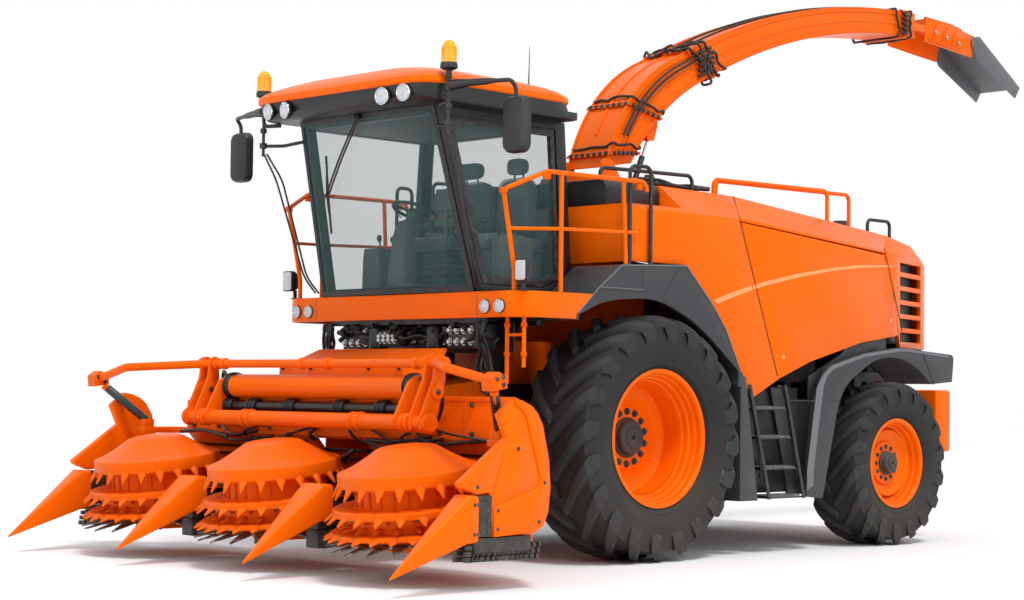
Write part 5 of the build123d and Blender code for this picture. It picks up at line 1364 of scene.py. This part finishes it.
trim = [
    pedestal(-0.12, 0.03, (2.096, 0.115, -1.445, -1.275), (2.3, 0.105, -1.438, -1.28),
             (2.56, 0.078, -1.42, -1.285), (2.64, 0.07, -1.405, -1.28), (2.7, 0.06, -1.375, -1.255)),
    tube([at(-0.12, -1.335, 2.62), wheel_centre - wheel_axis * 0.03], 0.045, 0.02, 14),
    pedestal(-0.6, 0.04, (2.096, 0.12, -1.3, -0.7), (2.42, 0.11, -1.3, -0.74), (2.5, 0.095, -1.3, -0.78))]
trim += blocks(
    ((0.135, 0.215), (-1.06, -0.64), (2.66, 2.72)),  # the two arm rests and a post
    ((-0.455, -0.385), (-1.06, -0.64), (2.66, 2.72)), ((0.15, 0.21), (-0.95, -0.78), (2.42, 2.66)),
    ((0.185, 0.215), (-1.205, -1.175), (2.55, 2.78)),  # the display and its stand
    ((0.1, 0.34), (-1.215, -1.165), (2.78, 2.95)),
    ((0.63, 0.72), (-1.1, -0.62), (2.2, 2.56)),  # the console by the door
    ((-0.74, 0.74), (-0.575, -0.545), (2.23, 2.8)),  # the linings behind the seats and of the roof
    ((-0.735, 0.735), (-1.76, -0.56), (3.442, 3.456)),
    ((-0.03, 0.13), (-1.49, -1.36), (2.096, 2.19)))  # the pedal box
levers = []
for x, station, z, lean in (
        (0.175, -1.02, 2.72, -0.03), (0.2, -0.93, 2.72, 0.01), (-0.6, -1.18, 2.5, -0.02),
        (-0.56, -1.08, 2.5, 0.01),
        (-0.64, -1.02, 2.5, 0.0), (0.675, -1.0, 2.56, -0.02), (0.66, -0.86, 2.56, 0.02),
        (-0.42, -1.02, 2.72, -0.02), (0.02, -1.2, 2.6, 0.02)):
    levers.append(tube([at(x, station, z - 0.02), at(x, station + lean, z + 0.075)], 0.007, 0.01, 8))
    levers.append(turned([(0, 0), (0.004, 0.016), (0.03, 0.022), (0.052, 0.017), (0.062, 0)],
                         at(x, station + lean, z + 0.06), (0, lean * 2, 1), 16))
for side in (-1, 1):  # the stalks on both sides of the column
    stalk = [at(-0.12 + side * 0.095, -1.3, 2.74), at(-0.12 + side * 0.18, -1.28, 2.77)]
    levers.append(tube(stalk, 0.006, 0.01, 8))
levers.append(tube([at(0.78, -0.66, 2.46), at(0.7, -0.72, 2.44), at(0.69, -1.05, 2.3), at(0.7, -1.2, 2.14)],
                   0.012, 0.15, 10))
for _ in range(12):  # slack cables between the consoles
    x, z = uniform(0.02, 0.7), uniform(2.58, 2.74)
    route = [at(x, -1.0, z - 0.1), at(x + uniform(-0.05, 0.05), -1.05 - uniform(0, 0.1), z),
             at(x + uniform(-0.1, 0.1), -1.0, z + 0.05)]
    levers.append(tube(route, 0.008, 0.05, 6))
piece("steering_wheel", steering, "chassis", PLASTIC, 0, ("steering_column",))
piece("cab_trim", trim, "chassis", INTERIOR, 0.012)
piece("cab_levers", levers, "chassis", PLASTIC)

# %% [markdown]
# ## Lamps
# A work lamp is a black cup, a bright rim and a lens. The rim is what makes it read as a lamp from
# a distance, so it is a piece of its own in polished metal.

# %% Round and square lamps
cups, rims, lenses = [], [], []


def round_lamp(centre, direction, radius, depth):
    """Adds a round lamp: its cup, its rim with three ribs and a boss, and its lens."""
    def round_part(profile):
        return turned([(distance, radius * share) for distance, share in profile], centre, direction, 40)

    matrix = facing_matrix(centre, direction)
    cup = [(-depth, 0), (-depth, 0.62), (-depth * 0.35, 1.1), (-0.002, 1.12), (0.004, 1.06), (0.004, 0)]
    cups.append(round_part(cup))
    rims.append(round_part([(0.003, 1.03), (0.01, 1.0), (0.011, 0.92), (0.004, 0.86), (0.003, 1.03)]))
    lenses.append(round_part([(0.002, 0), (0.002, 0.9), (0.007, 0.8), (0.012, 0.45), (0.014, 0)]))
    rib = cuboid((0.01, radius * 0.86), (-radius * 0.02, radius * 0.02), (0.0085, 0.0125))
    boss = turned([(0.012, 0), (0.012, radius * 0.2), (0.0155, radius * 0.15), (0.0155, 0)], steps=24)
    rims.extend([ring_of(rib, 3, matrix, 0.5), moved(boss, matrix)])


def square_part(sections, corner):
    """A part of the square lamp, lofted through sections of (station, half width, half height)."""
    return lofted([rounded_section(station, 1.4, half, 2.245 - tall, 2.245 + tall, corner)
                   for station, half, tall in sections])


for x, turn in ((1.06, 0.0), (1.215, 0.04)):
    round_lamp(at(x, -1.566, 1.98), (turn, -1, 0), 0.05, 0.006)
for x, station, z in ((0.59, -2.212, 3.548), (0.82, -2.2, 3.556)):
    round_lamp(at(x, station, z), (0.14, -1, -0.06), 0.066, 0.055)
    cups.append(tube([at(x, station + 0.05, z), at(x - 0.02, station + 0.14, z + 0.02)], 0.035, 0.01, 12))
cups.append(square_part([(-1.53, 0.056, 0.08), (-1.526, 0.06, 0.085), (-1.49, 0.06, 0.085),
                         (-1.447, 0.046, 0.066)], 0.018))
rims.append(square_part([(-1.5345, 0.049, 0.073), (-1.53, 0.052, 0.076)], 0.014))
lenses.append(square_part([(-1.541, 0.034, 0.055), (-1.538, 0.044, 0.067), (-1.534, 0.045, 0.069)], 0.01))
rims += [block((1.362, 1.438), (-1.5425, -1.5395), (z, z + 0.003)) for z in (2.205, 2.245, 2.285)]
cups += blocks(
    ((1.362, 1.383), (-1.478, -1.452), (2.096, 2.17)),  # the square lamp's foot
    ((1.34, 1.405), (-1.485, -1.445), (2.094, 2.104)),
    ((0.9625, 0.9675), (-1.5606, -1.559), (1.899, 2.092)))  # the joint in the platform's band
piece("lamp_cups", both_sides(cups), "chassis", PLASTIC, 0.001, ("lamps",))
piece("lamp_rims", both_sides(rims), "chassis", CHROME)
piece("lamp_lenses", both_sides(lenses), "chassis", LENS)

# %% [markdown]
# ## Panel lines, painted highlights and mouldings
# Long panels are broken by features that are only millimetres deep. The bright lines where light
# catches a fender's edge, the top of the rear fender and the crease along the hood are painted
# highlights: pale beads and strips. The joints between two mouldings are dark beads. Each one here
# is a thin strip or bead on the panel's outer face, drawn from a side view in stations and heights.

# %% Beads on the fenders and the painted highlight along the hood
FENDER_FACE, HOOD_FACE = 1.4495, 1.3995


def bead(points, radius=0.005):
    """A thin round bead along a side line on the fender."""
    return tube(line_at(FENDER_FACE, points), radius, 0.01, 6)


def strip(upper, lower, x, thickness):
    """A thin plate between two side lines, as one form for each stretch."""
    return [side_form([a, b, d, c], x, x + thickness)
            for a, b, c, d in zip(upper, upper[1:], lower, lower[1:])]


FENDER_EDGE = [(-0.955, 1.945), (-0.731, 2.14), (-0.466, 2.333), (0.247, 2.363), (0.3, 2.366), (0.642, 2.05),
               (0.8, 1.866), (0.983, 1.54)]
REAR_OUTER = [(1.888, 0.52), (1.893, 0.698), (2.0, 1.288), (2.022, 1.405), (2.11, 1.52), (2.246, 1.6),
              (2.608, 1.685), (2.735, 1.712), (3.239, 1.768), (3.364, 1.766), (3.626, 1.748), (4.029, 1.72)]
REAR_INNER = [(1.978, 0.56), (1.985, 0.697), (2.092, 1.289), (2.12, 1.418), (2.172, 1.509), (2.27, 1.568),
              (2.608, 1.655), (2.735, 1.682), (3.239, 1.74), (3.364, 1.742), (3.626, 1.726), (4.029, 1.698)]
# The pale beads and the pale band on the rear fender are painted highlights; the dark beads are joints.
pale = [bead(FENDER_EDGE, 0.006), bead([(-0.722, 2.153), (-0.223, 2.151)], 0.0045)]
pale += strip(REAR_OUTER, REAR_INNER, 1.4492, 0.0035)
dark = [bead([(-0.722, 2.134), (-0.223, 2.132)], 0.0045),
        bead([(0.217, 2.355), (0.167, 2.287), (0.01, 2.095)]),
        bead([(1.62, 1.289), (2.0, 1.289)]), bead([(2.092, 1.289), (2.33, 1.289)]),
        bead([(3.613, 1.742), (3.787, 1.45)]), bead([(-0.223, 2.16), (-0.223, 2.33)], 0.0035)]
# the two joints across the hood
dark.append(tube([at(1.102, 1.302, 3.0235), at(1.4, 1.022, 2.8), at(1.4, 1.54, 1.495)], 0.0045, 0.01, 6))
dark.append(tube([at(1.102, 3.468, 2.819), at(1.4, 3.088, 2.645), at(1.4, 3.358, 1.925)], 0.0045, 0.01, 6))
piece("fender_flanges", both_sides(pale), "chassis", FENDER_HIGHLIGHT, 0.001)
piece("fender_joints", both_sides(dark), "chassis", PLASTIC)

# A pale strip along the hood's crease is a painted highlight; the two locks on the service doors get the same
# pale orange.
HIGHLIGHT_UPPER = [(0.7, 2.108), (0.904, 2.173), (1.188, 2.248), (1.383, 2.294), (1.836, 2.383), (2.306, 2.453),
                (2.671, 2.495), (2.995, 2.514), (3.205, 2.517)]
HIGHLIGHT_LOWER = [(0.742, 2.079), (0.948, 2.142), (1.2, 2.213), (1.384, 2.258), (1.836, 2.35), (2.306, 2.427),
                (2.671, 2.47), (2.995, 2.495), (3.205, 2.506)]
hood_part = strip(HIGHLIGHT_UPPER[:3], HIGHLIGHT_LOWER[:3], HOOD_FACE, 0.0016)
piece("hood_stripe", both_sides(hood_part), "chassis", CREASE_HIGHLIGHT)
door_part = strip([(1.207, 2.252)] + HIGHLIGHT_UPPER[3:], [(1.219, 2.219)] + HIGHLIGHT_LOWER[3:], HOOD_FACE, 0.0016)
door_part += [disc_form(lock, LEFT, 0.02, 0.004, 0.001, 20)
              for lock in line_at(HOOD_FACE, [(1.62, 1.66), (3.18, 2.02)])]
for side, forms in (("left", door_part), ("right", [mirrored(form) for form in door_part])):
    piece(f"door_stripe_{side}", forms, f"service_door_{side}", CREASE_HIGHLIGHT)

# %% [markdown]
# ## Tail lamps, painted shade behind the louvres, and ladders
# Air leaves the hood through slots at its rear corners. A dark sheet and a row of dark bars stand a
# hand's width behind the slots as painted shade, for the shade among the coolers where the light
# that falls between the slats is lost. The steps have saw-toothed edges for grip, and the rails
# beside them end in bent heads.

# %% Tail lamps, dark shade sheets, treads and rails
TAIL = [(4.029, 1.716), (4.082, 1.712), (4.082, 1.492), (4.03, 1.491)]
tail = [side_form(TAIL, 1.1, FENDER_FACE),
        side_form([(3.97, 1.5), (4.03, 1.496), (4.03, 1.7), (3.97, 1.7)], 1.15, 1.445)]
red = [side_form([(4.08, 1.7), (4.094, 1.696), (4.094, 1.512), (4.08, 1.506)], 1.14, 1.42)]
red += [turned([(0, 0), (0, 0.034), (0.006, 0.03), (0.008, 0)], at(x, 4.092, 1.605), (0, 1, 0), 24)
        for x in (1.2, 1.36)]
piece("tail_lamp_blocks", both_sides(tail), "chassis", PLASTIC, 0.006)
piece("tail_lamp_lenses", both_sides(red), "chassis", RED_LENS, 0.003)

# Dark sheets and bars in hose rubber behind the slots: painted shade for the hollow among the coolers.
SHADE_SHEET_FOOT, SHADE_SHEET_TALL = 1.815, 0.745
plan = [(1.3, 3.3), (1.03, 4.03), (0.99, 4.1), (-0.99, 4.1), (-1.03, 4.03), (-1.3, 3.3)]
inside = [(x * 0.985, s - 0.012) for x, s in plan]
shade_sheets = [extruded([at(*spot, SHADE_SHEET_FOOT) for spot in corners], (0, 0, SHADE_SHEET_TALL))
         for corners in zip(plan, plan[1:], inside[1:], inside)]
shade_sheets.append(repeated(block((-0.9, 0.9), (4.085, 4.104), (1.85, 1.858)), 60, 0, (0, 0, 0.0115)))
piece("louvre_liner", shade_sheets, "chassis", HOSE)

treads = []
for z in (0.48, 0.722, 0.98, 1.224):
    front = 1.37 - 0.27 * (z - 0.48) / 0.96
    notch = [(front + 0.012, z - 0.004), (front + 0.04, z - 0.004), (front + 0.026, z + 0.014)]
    grip = block((1.3, 1.306), (front + 0.02, front + 0.42), (z + 0.01, z + 0.018))
    treads += [block((1.232, 1.436), (front - 0.004, front + 0.44), (z + 0.0065, z + 0.0105)),
               repeated(side_form(notch, 1.4372, 1.4452), 13, 0, (0, 0.0325, 0)),
               repeated(grip, 3, 0, (0.045, 0, 0))]
rails = [tube([at(*spot) for spot in route], 0.014, 0.05, 12) for route in (
    ((1.405, 1.53, 1.41), (1.418, 1.59, 1.4), (1.425, 1.62, 1.33), (1.425, 1.786, 0.7), (1.405, 1.8, 0.64)),
    ((1.405, 1.045, 1.42), (1.42, 1.11, 1.385), (1.425, 1.177, 1.27), (1.425, 1.303, 0.709),
     (1.405, 1.315, 0.64)))]
piece("ladder_treads", both_sides(treads), "chassis", FLAP_GREY)
piece("ladder_rails", both_sides(rails), "chassis", BLACK)

# %% [markdown]
# ## Rail clamps, lips and seams
# Tubular rails are held by clamp rings, here at the feet and bends of the handrails and on the two
# posts of the short ladder at the front. The platform's band is rolled over along both its edges,
# and the top of the hood is crossed by the raised seams of its sheets.

# %% Clamps, lips and seams
clamps = both_sides([
    turned([(-0.022, 0), (-0.022, 0.028), (-0.018, 0.031), (0.018, 0.031), (0.022, 0.028), (0.022, 0)],
           at(*spot), (0, 0.1, 1), 16)
    for spot in ((1.285, -1.48, 2.06), (1.289, -1.608, 2.84), (1.43, -1.29, 2.96), (1.43, -0.26, 2.96))])
clamps += [turned(drum(0.024, -0.016, 0.016), at(x, -1.43, z), steps=16)
           for x in (1.165, 1.345) for z in (1.62, 1.84)]
piece("rail_clamps", clamps, "chassis", WORN_ORANGE, 0.002)
lips = [tube([at(-1.2, -1.559, z), at(1.2, -1.559, z)], radius, 0.01, 8)
        for z, radius in ((1.902, 0.006), (2.088, 0.005))]
piece("band_lips", lips, "chassis", ORANGE)
hood_seams = [tube([at(side * 1.05, s, 3.023 - (s - 1.31) * 0.0944) for side in (-1, 1)], 0.004, 0.01, 6)
              for s in (1.9, 2.65)]
hood_seams += [tube([at(x, 1.45, 3.0095), at(x, 3.35, 2.831)], 0.005, 0.01, 6) for x in (-0.52, 0.52)]
piece("roof_seams", hood_seams, "chassis", WORN_ORANGE)
print("clamps on the rails:", len(clamps))

# %% [markdown]
# ## The spout
# The spout is a bent channel that throws the crop into a trailer. Its sheet metal is stiffened by
# ribs that run along its whole curve and by collars where sections are bolted together. The ribs
# are found from the same three-point arcs as the channel, so they follow it exactly.

# %% Ribs, collars and the deflector's hoses
def arc_through(a, b, c, count):
    """Points of the circular arc through three points of a side view."""
    (ax, ay), (bx, by), (cx, cy) = a, b, c
    d = 2 * (ax * (by - cy) + bx * (cy - ay) + cx * (ay - by))
    a2, b2, c2 = ax * ax + ay * ay, bx * bx + by * by, cx * cx + cy * cy
    ux = (a2 * (by - cy) + b2 * (cy - ay) + c2 * (ay - by)) / d
    uy = (a2 * (cx - bx) + b2 * (ax - cx) + c2 * (bx - ax)) / d
    radius, first = hypot(ax - ux, ay - uy), atan2(ay - uy, ax - ux)
    sweep = (atan2(cy - uy, cx - ux) - first + pi) % (2 * pi) - pi
    angles = [first + sweep * i / count for i in range(count + 1)]
    return [(ux + radius * cos(angle), uy + radius * sin(angle)) for angle in angles]


def spout_line(foot, low, joint, high, end):
    """An edge of the spout: a tight arc from its foot to a joint, then a long one to its end."""
    return arc_through(foot, low, joint, 14) + arc_through(joint, high, end, 30)[1:]


OUTER = spout_line((0.65, 3.29), (0.92, 3.85), (1.56, 4.34), (3.16, 4.95), (5.24, 5.23))
INNER = spout_line((0.96, 3.34), (1.32, 3.77), (1.9, 4.165), (3.5, 4.77), (5.24, 5.0))


def between(share, first=0, last=None):
    """A line along the spout, part of the way from its outer to its inner edge."""
    pairs = list(zip(OUTER, INNER))[first:last]
    return [(a + (c - a) * share, b + (d - b) * share) for (a, b), (c, d) in pairs]


def shifted(line, distance):
    """A side line moved square to its own direction; up for a positive distance."""
    shifted_line = []
    for i, (s, z) in enumerate(line):
        (s0, z0), (s1, z1) = line[max(i - 1, 0)], line[min(i + 1, len(line) - 1)]
        length = hypot(s1 - s0, z1 - z0)
        shifted_line.append((s - (z1 - z0) / length * distance, z + (s1 - s0) / length * distance))
    return shifted_line


def rail_along(line, x, height, width):
    """A bar of a height and width that stands outwards on a side line."""
    return strip(shifted(line, height), line, x - width / 2, width)


ribs = [form for x in (-0.222, 0.222) for form in rail_along(between(0.0), x, 0.014, 0.022)]
ribs += rail_along(between(0.0, 3, -3), 0.0, 0.01, 0.03)
for share in (0.09, 0.5, 0.91):
    line = between(share, 1, -1)
    ribs += both_sides(strip(shifted(line, 0.01), shifted(line, -0.01), 0.228, 0.01))
piece("spout_ribs", ribs, "spout", ORANGE, 0.0015, angle=40)


def section_at(index):
    """The spout's outer and inner points at an index, and the direction from the inner to the outer one."""
    outer, inner = Vector(OUTER[index]), Vector(INNER[index])
    return outer, inner, (outer - inner).normalized()


def collar_frame(outer, inner, up, span, half, stand):
    """A collar round the spout: two plates over and under it, and one on each side."""
    plates = []
    for start, lift in ((outer, up * stand), (inner, -up * stand)):
        plates.append(side_form([start, start + span, start + span + lift, start + lift], -half, half))
    cheek = [inner - up * stand, inner - up * stand + span, outer + up * stand + span, outer + up * stand]
    return plates + [side_form(cheek, x, x + stand) for x in (-half, half - stand)]


def cable_round(index, half, wander, count=26):
    """A slack cable that is wound round the spout beside a collar."""
    outer, inner, up = section_at(index)
    outer, inner, ahead = outer + up * wander, inner - up * wander, Vector((up.y, -up.x))
    corners = [(-half, inner), (-half, outer), (half, outer), (half, inner)]
    route = []
    for i in range(count):
        side, part = divmod(i / count * 4, 1)
        (x0, p0), (x1, p1) = corners[int(side)], corners[(int(side) + 1) % 4]
        spot = p0 + (p1 - p0) * part + ahead * uniform(-wander, wander) * 1.6
        route.append(at(x0 + (x1 - x0) * part, *spot))
    return tube(route + route[:1], 0.012, 0.03, 8)


COLLARS = [(1, 0.262, 0.026, 0.035), (6, 0.256, 0.022, 0.03), (15, 0.258, 0.024, 0.075),
           (42, 0.256, 0.022, 0.06)]
CABLES = [(2, 0.258, 0.016), (7, 0.258, 0.016), (15, 0.28, 0.038), (16, 0.276, 0.034), (17, 0.262, 0.024),
          (41, 0.266, 0.026), (43, 0.268, 0.024)]
collars, collar_bolts = [], []
for index, half, stand, length in COLLARS:
    outer, inner, up = section_at(index)
    span = (Vector(OUTER[index + 1]) - outer + Vector(INNER[index + 1]) - inner).normalized() * length
    collars += collar_frame(outer, inner, up, span, half, stand)
    for k in range(6):
        spot = inner + (outer - inner) * ((k + 0.5) / 6) + span * 0.5
        collar_bolts += [(at(half, *spot), LEFT), (at(-half, *spot), RIGHT)]
    spot = outer + up * stand + span * 0.5
    collar_bolts += [(at(-0.21 + 0.07 * k, *spot), (0, *up)) for k in range(7)]
piece("spout_collars", collars, "spout", WORN_ORANGE, 0.003)
piece("spout_bolts", [studs(BOLT_20, collar_bolts)], "spout", CAST)
cables = [cable_round(*row) for row in CABLES]
cables += [tube(line_at(0.262, between(share, 3, 18)), 0.011, 0.02, 8) for share in (0.2, 0.33)]
top = shifted(between(0.0, 15, 44), 0.022)
cables += [tube([at(x + 0.012 * sin(i * 0.9), s, z) for i, (s, z) in enumerate(top)], 0.01, 0.02, 8)
           for x in (0.1, -0.06)]
for index in (15, 16, 42):  # the fittings beside the cables
    s, z = between(0.5)[index]
    for k in range(9):
        spot = at(0.272, s + 0.045 * (k % 2), z - 0.1 + 0.026 * k)
        cables.append(turned(drum(0.016, -0.022, 0.022), spot, (0.2, 1, 0.4), 8))
piece("spout_hoses", cables, "spout", HOSE)

CHUTE_FACE = 0.243
DECK = [(5.455, 5.232), (5.91, 5.216), (6.12, 5.187)]
chute = [form for x in (-0.205, 0.205) for form in strip(
    [(s, z + 0.016) for s, z in DECK], [(s, z - 0.01) for s, z in DECK], x - 0.012, 0.024)]
chute += [tube([at(x, low, 4.985), at(x, high, 5.185)], 0.007, 0.01, 8)
          for low, high in ((5.52, 5.62), (5.7, 5.82), (5.88, 5.99)) for x in (CHUTE_FACE, -CHUTE_FACE)]
chute += [tube(line_at(x, [(5.47, 5.01), (5.8, 4.982), (6.06, 4.968)]), 0.009, 0.02, 8)
          for x in (-CHUTE_FACE, CHUTE_FACE)]
chute += [tube([at(x, 5.5, 5.23), at(x, 6.1, 5.19)], 0.008, 0.01, 8) for x in (-0.12, 0.0, 0.12)]
chute_pins = [(at(x, s, z), way) for s, z in ((5.6, 5.1), (5.8, 5.07), (6.02, 5.04))
              for x, way in ((CHUTE_FACE + 0.0015, LEFT), (-CHUTE_FACE - 0.0015, RIGHT))]
piece("deflector_ribs", chute, "deflector", WORN_ORANGE, 0.001)
piece("deflector_bolts", [studs(BOLT_20, chute_pins)], "deflector", STEEL)
print("points along the spout:", len(OUTER), "bolts on its collars:", len(collar_bolts))

# %% [markdown]
# ## Hoses at the turret and below the cab
# Oil and wires run where they can: round the turret's foot, and in bundles below the cab between
# the feeder and the axle. A seeded random generator lays each hose from one fitting to another
# through a few wandering points, so the bundle looks used but is the same at every run.

# %% Hose bundles, fittings and machinery
def wandering(start, end, spread, points, radius):
    """A hose from one fitting to another, with a ferrule at both ends."""
    route, ends = [start], 0.02
    for i in range(1, points + 1):
        t = i / (points + 1)
        sag = Vector((0, 0, -spread * 0.6 * sin(pi * t)))
        route.append(start.lerp(end, t) + sag + Vector([uniform(-spread, spread) for _ in range(3)]))
    route.append(end)
    forms = [tube(route, radius, 0.08, 8)]
    for tip, inward in ((route[0], route[1]), (route[-1], route[-2])):
        ferrule = [(-0.012, 0), (-0.012, ends), (0.04, ends), (0.05, radius), (0.05, 0)]
        forms.append(turned(ferrule, tip, inward - tip, 8))
    return forms


seed(41)
RING_HOSES, FOOT_HOSES, MIDDLE_HOSES, SIDE_HOSES = 16, 7, 46, 14
turret_hoses, under_hoses, machinery, fittings = [], [], [], []
for k in range(RING_HOSES):
    side = 1 if k % 4 else -1
    x0, x1 = side * uniform(0.42, 0.95), side * uniform(0.3, 0.62)
    start = at(x0, uniform(0.44, 0.62), 3.075)
    turret_hoses += wandering(start, at(x1, uniform(0.5, 1.02), uniform(3.075, 3.12)), 0.035, 3, 0.014)
for k in range(FOOT_HOSES):
    start = at(0.6 + 0.05 * k, 0.4, 3.075 + 0.02 * (k % 3))
    turret_hoses += wandering(start, at(0.98 + 0.01 * k, 0.92 + 0.02 * k, 3.07), 0.03, 3, 0.016)
piece("turret_hoses", turret_hoses, "chassis", HOSE)
gear = extruded([(0.372, -0.014, 0), (0.392, -0.007, 0), (0.392, 0.007, 0), (0.372, 0.014, 0)], (0, 0, 0.018))
motor = [(0, 0), (0, 0.075), (0.02, 0.08), (0.03, 0.06), (0.13, 0.058), (0.14, 0.045), (0.165, 0.04),
         (0.165, 0)]
slew = [disc_form(at(0, 0.72, 3.066), Z_UP, 0.385, 0.02, 0.004, 56),
        ring_of(gear, 60, placed(0, 0.72, 3.067))]
slew += [turned(motor, at(x, s, 3.05), steps=24) for x, s in ((-0.48, 0.62), (0.5, 0.9))]
piece("slew_drive", slew, "chassis", CAST, 0.001)

for _ in range(MIDDLE_HOSES):
    x0 = uniform(-0.86, 0.86)
    x1 = max(-0.86, min(0.86, x0 + uniform(-0.5, 0.5)))
    start = at(x0, uniform(-1.5, -1.36), uniform(1.76, 1.86))
    end = at(x1, uniform(-1.46, -1.15), uniform(1.72, 1.8))
    under_hoses += wandering(start, end, 0.035, 4, choice((0.01, 0.013, 0.017)))
for k in range(SIDE_HOSES):
    x0 = (-1, 1)[k % 2] * uniform(0.86, 0.96)
    end = at(x0 + uniform(-0.08, 0.08), -1.4, uniform(1.3, 1.5))
    under_hoses += wandering(at(x0, -1.47, 1.86), end, 0.035, 4, 0.014)
piece("under_cab_hoses", under_hoses, "chassis", HOSE)
VALVES = [  # middle x, half width, front station, depth, foot and top
    (-0.62, 0.16, -1.42, 0.22, 1.67, 1.86), (0.64, 0.15, -1.42, 0.24, 1.67, 1.86),
    (0.05, 0.3, -1.3, 0.2, 1.68, 1.86), (-0.2, 0.12, -1.44, 0.12, 1.69, 1.82)]
for x, half, station, depth, low, high in VALVES:
    machinery.append(block((x - half, x + half), (station, station + depth), (low, high)))
    fittings += [(at(x - half + 0.03 + k * (2 * half - 0.06) / 3, station, z), AHEAD)
                 for k in range(4) for z in (low + 0.05, high - 0.05)]
accumulator = [(0, 0), (0, 0.055), (0.01, 0.062), (0.16, 0.062), (0.17, 0.055), (0.19, 0.03), (0.19, 0)]
machinery += [turned(accumulator, at(x, -1.42, 1.67), steps=24) for x in (-0.36, 0.34)]
machinery.append(block((-0.9, 0.9), (-1.1, -1.085), (1.64, 1.885)))
piece("under_cab_valves", machinery, "chassis", BLACK, 0.006)
piece("under_cab_bolts", [studs(BOLT_30, fittings)], "chassis", STEEL)
print("hoses below the cab:", MIDDLE_HOSES + SIDE_HOSES, "hoses at the turret:", RING_HOSES + FOOT_HOSES)

# %% [markdown]
# ## The stage
# The floor is plain and pale and does not belong to the machine. The backdrop is white to the
# camera and in reflections, while the machine itself is lit by a soft sky that is brighter above.

# %% Floor, light and backdrop
FLOOR_HALF = 60
stage_mesh = bpy.data.meshes.new("floor")
corners = [(x * FLOOR_HALF, y * FLOOR_HALF, 0) for x, y in ((-1, -1), (1, -1), (1, 1), (-1, 1))]
stage_mesh.from_pydata(corners, [], [(0, 1, 2, 3)])
floor = linked("floor", stage_mesh)
floor_finish, _, shader, _ = started("floor")
tuned(shader, Base_Color=(0.9, 0.9, 0.9, 1), Roughness=0.95)
floor.data.materials.append(floor_finish)

world = bpy.data.worlds.new("sky")
SCENE.world = world
world.use_nodes = True
tree = world.node_tree
make, link = tree.nodes.new, tree.links.new
sky, shown, path = tree.nodes["Background"], make("ShaderNodeBackground"), make("ShaderNodeLightPath")
mix, place, height, ramp = (make(kind) for kind in (
    "ShaderNodeMixShader", "ShaderNodeTexCoord", "ShaderNodeSeparateXYZ", "ShaderNodeMapRange"))
link(place.outputs["Generated"], height.inputs[0])
link(height.outputs["Z"], ramp.inputs["Value"])
tuned(ramp, From_Min=-0.1, From_Max=0.9, To_Min=0.24, To_Max=0.88)
link(ramp.outputs["Result"], sky.inputs["Strength"])
tuned(sky, Color=(0.93, 0.96, 1.0, 1))
tuned(shown, Color=(1, 1, 1, 1), Strength=1.0)
seen = operate(tree, "MAXIMUM", path.outputs["Is Camera Ray"], path.outputs["Is Glossy Ray"])
seen = operate(tree, "MAXIMUM", seen, path.outputs["Is Transmission Ray"])
link(seen, mix.inputs["Fac"])
link(sky.outputs[0], mix.inputs[1])
link(shown.outputs[0], mix.inputs[2])
link(mix.outputs[0], tree.nodes["World Output"].inputs["Surface"])


LIGHT_DISTANCE, MACHINE_MIDDLE = 14.0, Vector((0, 0, 2))


def shine(name, kind, energy, direction, size):
    """A light that shines on the middle of the machine from a direction."""
    data = bpy.data.lights.new(name, kind)
    data.energy = energy
    if kind == "AREA":
        data.shape, data.size = "DISK", size
    else:
        data.angle = radians(size)
    light = bpy.data.objects.new(name, data)
    SCENE.collection.objects.link(light)
    away = Vector(direction).normalized()
    light.location = MACHINE_MIDDLE + away * LIGHT_DISTANCE
    light.rotation_mode = "QUATERNION"
    light.rotation_quaternion = away.to_track_quat("Z", "Y")


shine("high sun", "SUN", 1.65, (0.45, -0.15, 0.9), 12)
shine("side fill", "AREA", 380, (0.9, -0.2, 0.25), 9.0)
shine("front fill", "AREA", 260, (0.1, -1.0, 0.3), 8.0)

# %% [markdown]
# ## The camera
# The camera stands ahead of the machine's left front corner, a little above a wheel's height, far
# enough away for the long spout and the low header to keep their true proportions.

# %% Camera
SCENE.view_settings.view_transform = "Standard"
camera_data = bpy.data.cameras.new("camera")
camera_data.lens, camera_data.sensor_width, camera_data.clip_end = 71.8, 36, 200
camera = bpy.data.objects.new("camera", camera_data)
SCENE.collection.objects.link(camera)
SCENE.camera = camera
heading, roll = radians(45.7), radians(0.673)
ahead = Vector((-0.71499, 0.69772, 0.04441)).normalized()
right = Vector((cos(heading), sin(heading), 0))
up = right.cross(ahead)
right, up = cos(roll) * right + sin(roll) * up, cos(roll) * up - sin(roll) * right
camera.matrix_world = Matrix.Translation((12.2211, -13.9822, 1.3449)) @ Matrix(
    (right, up, -ahead)).transposed().to_4x4()
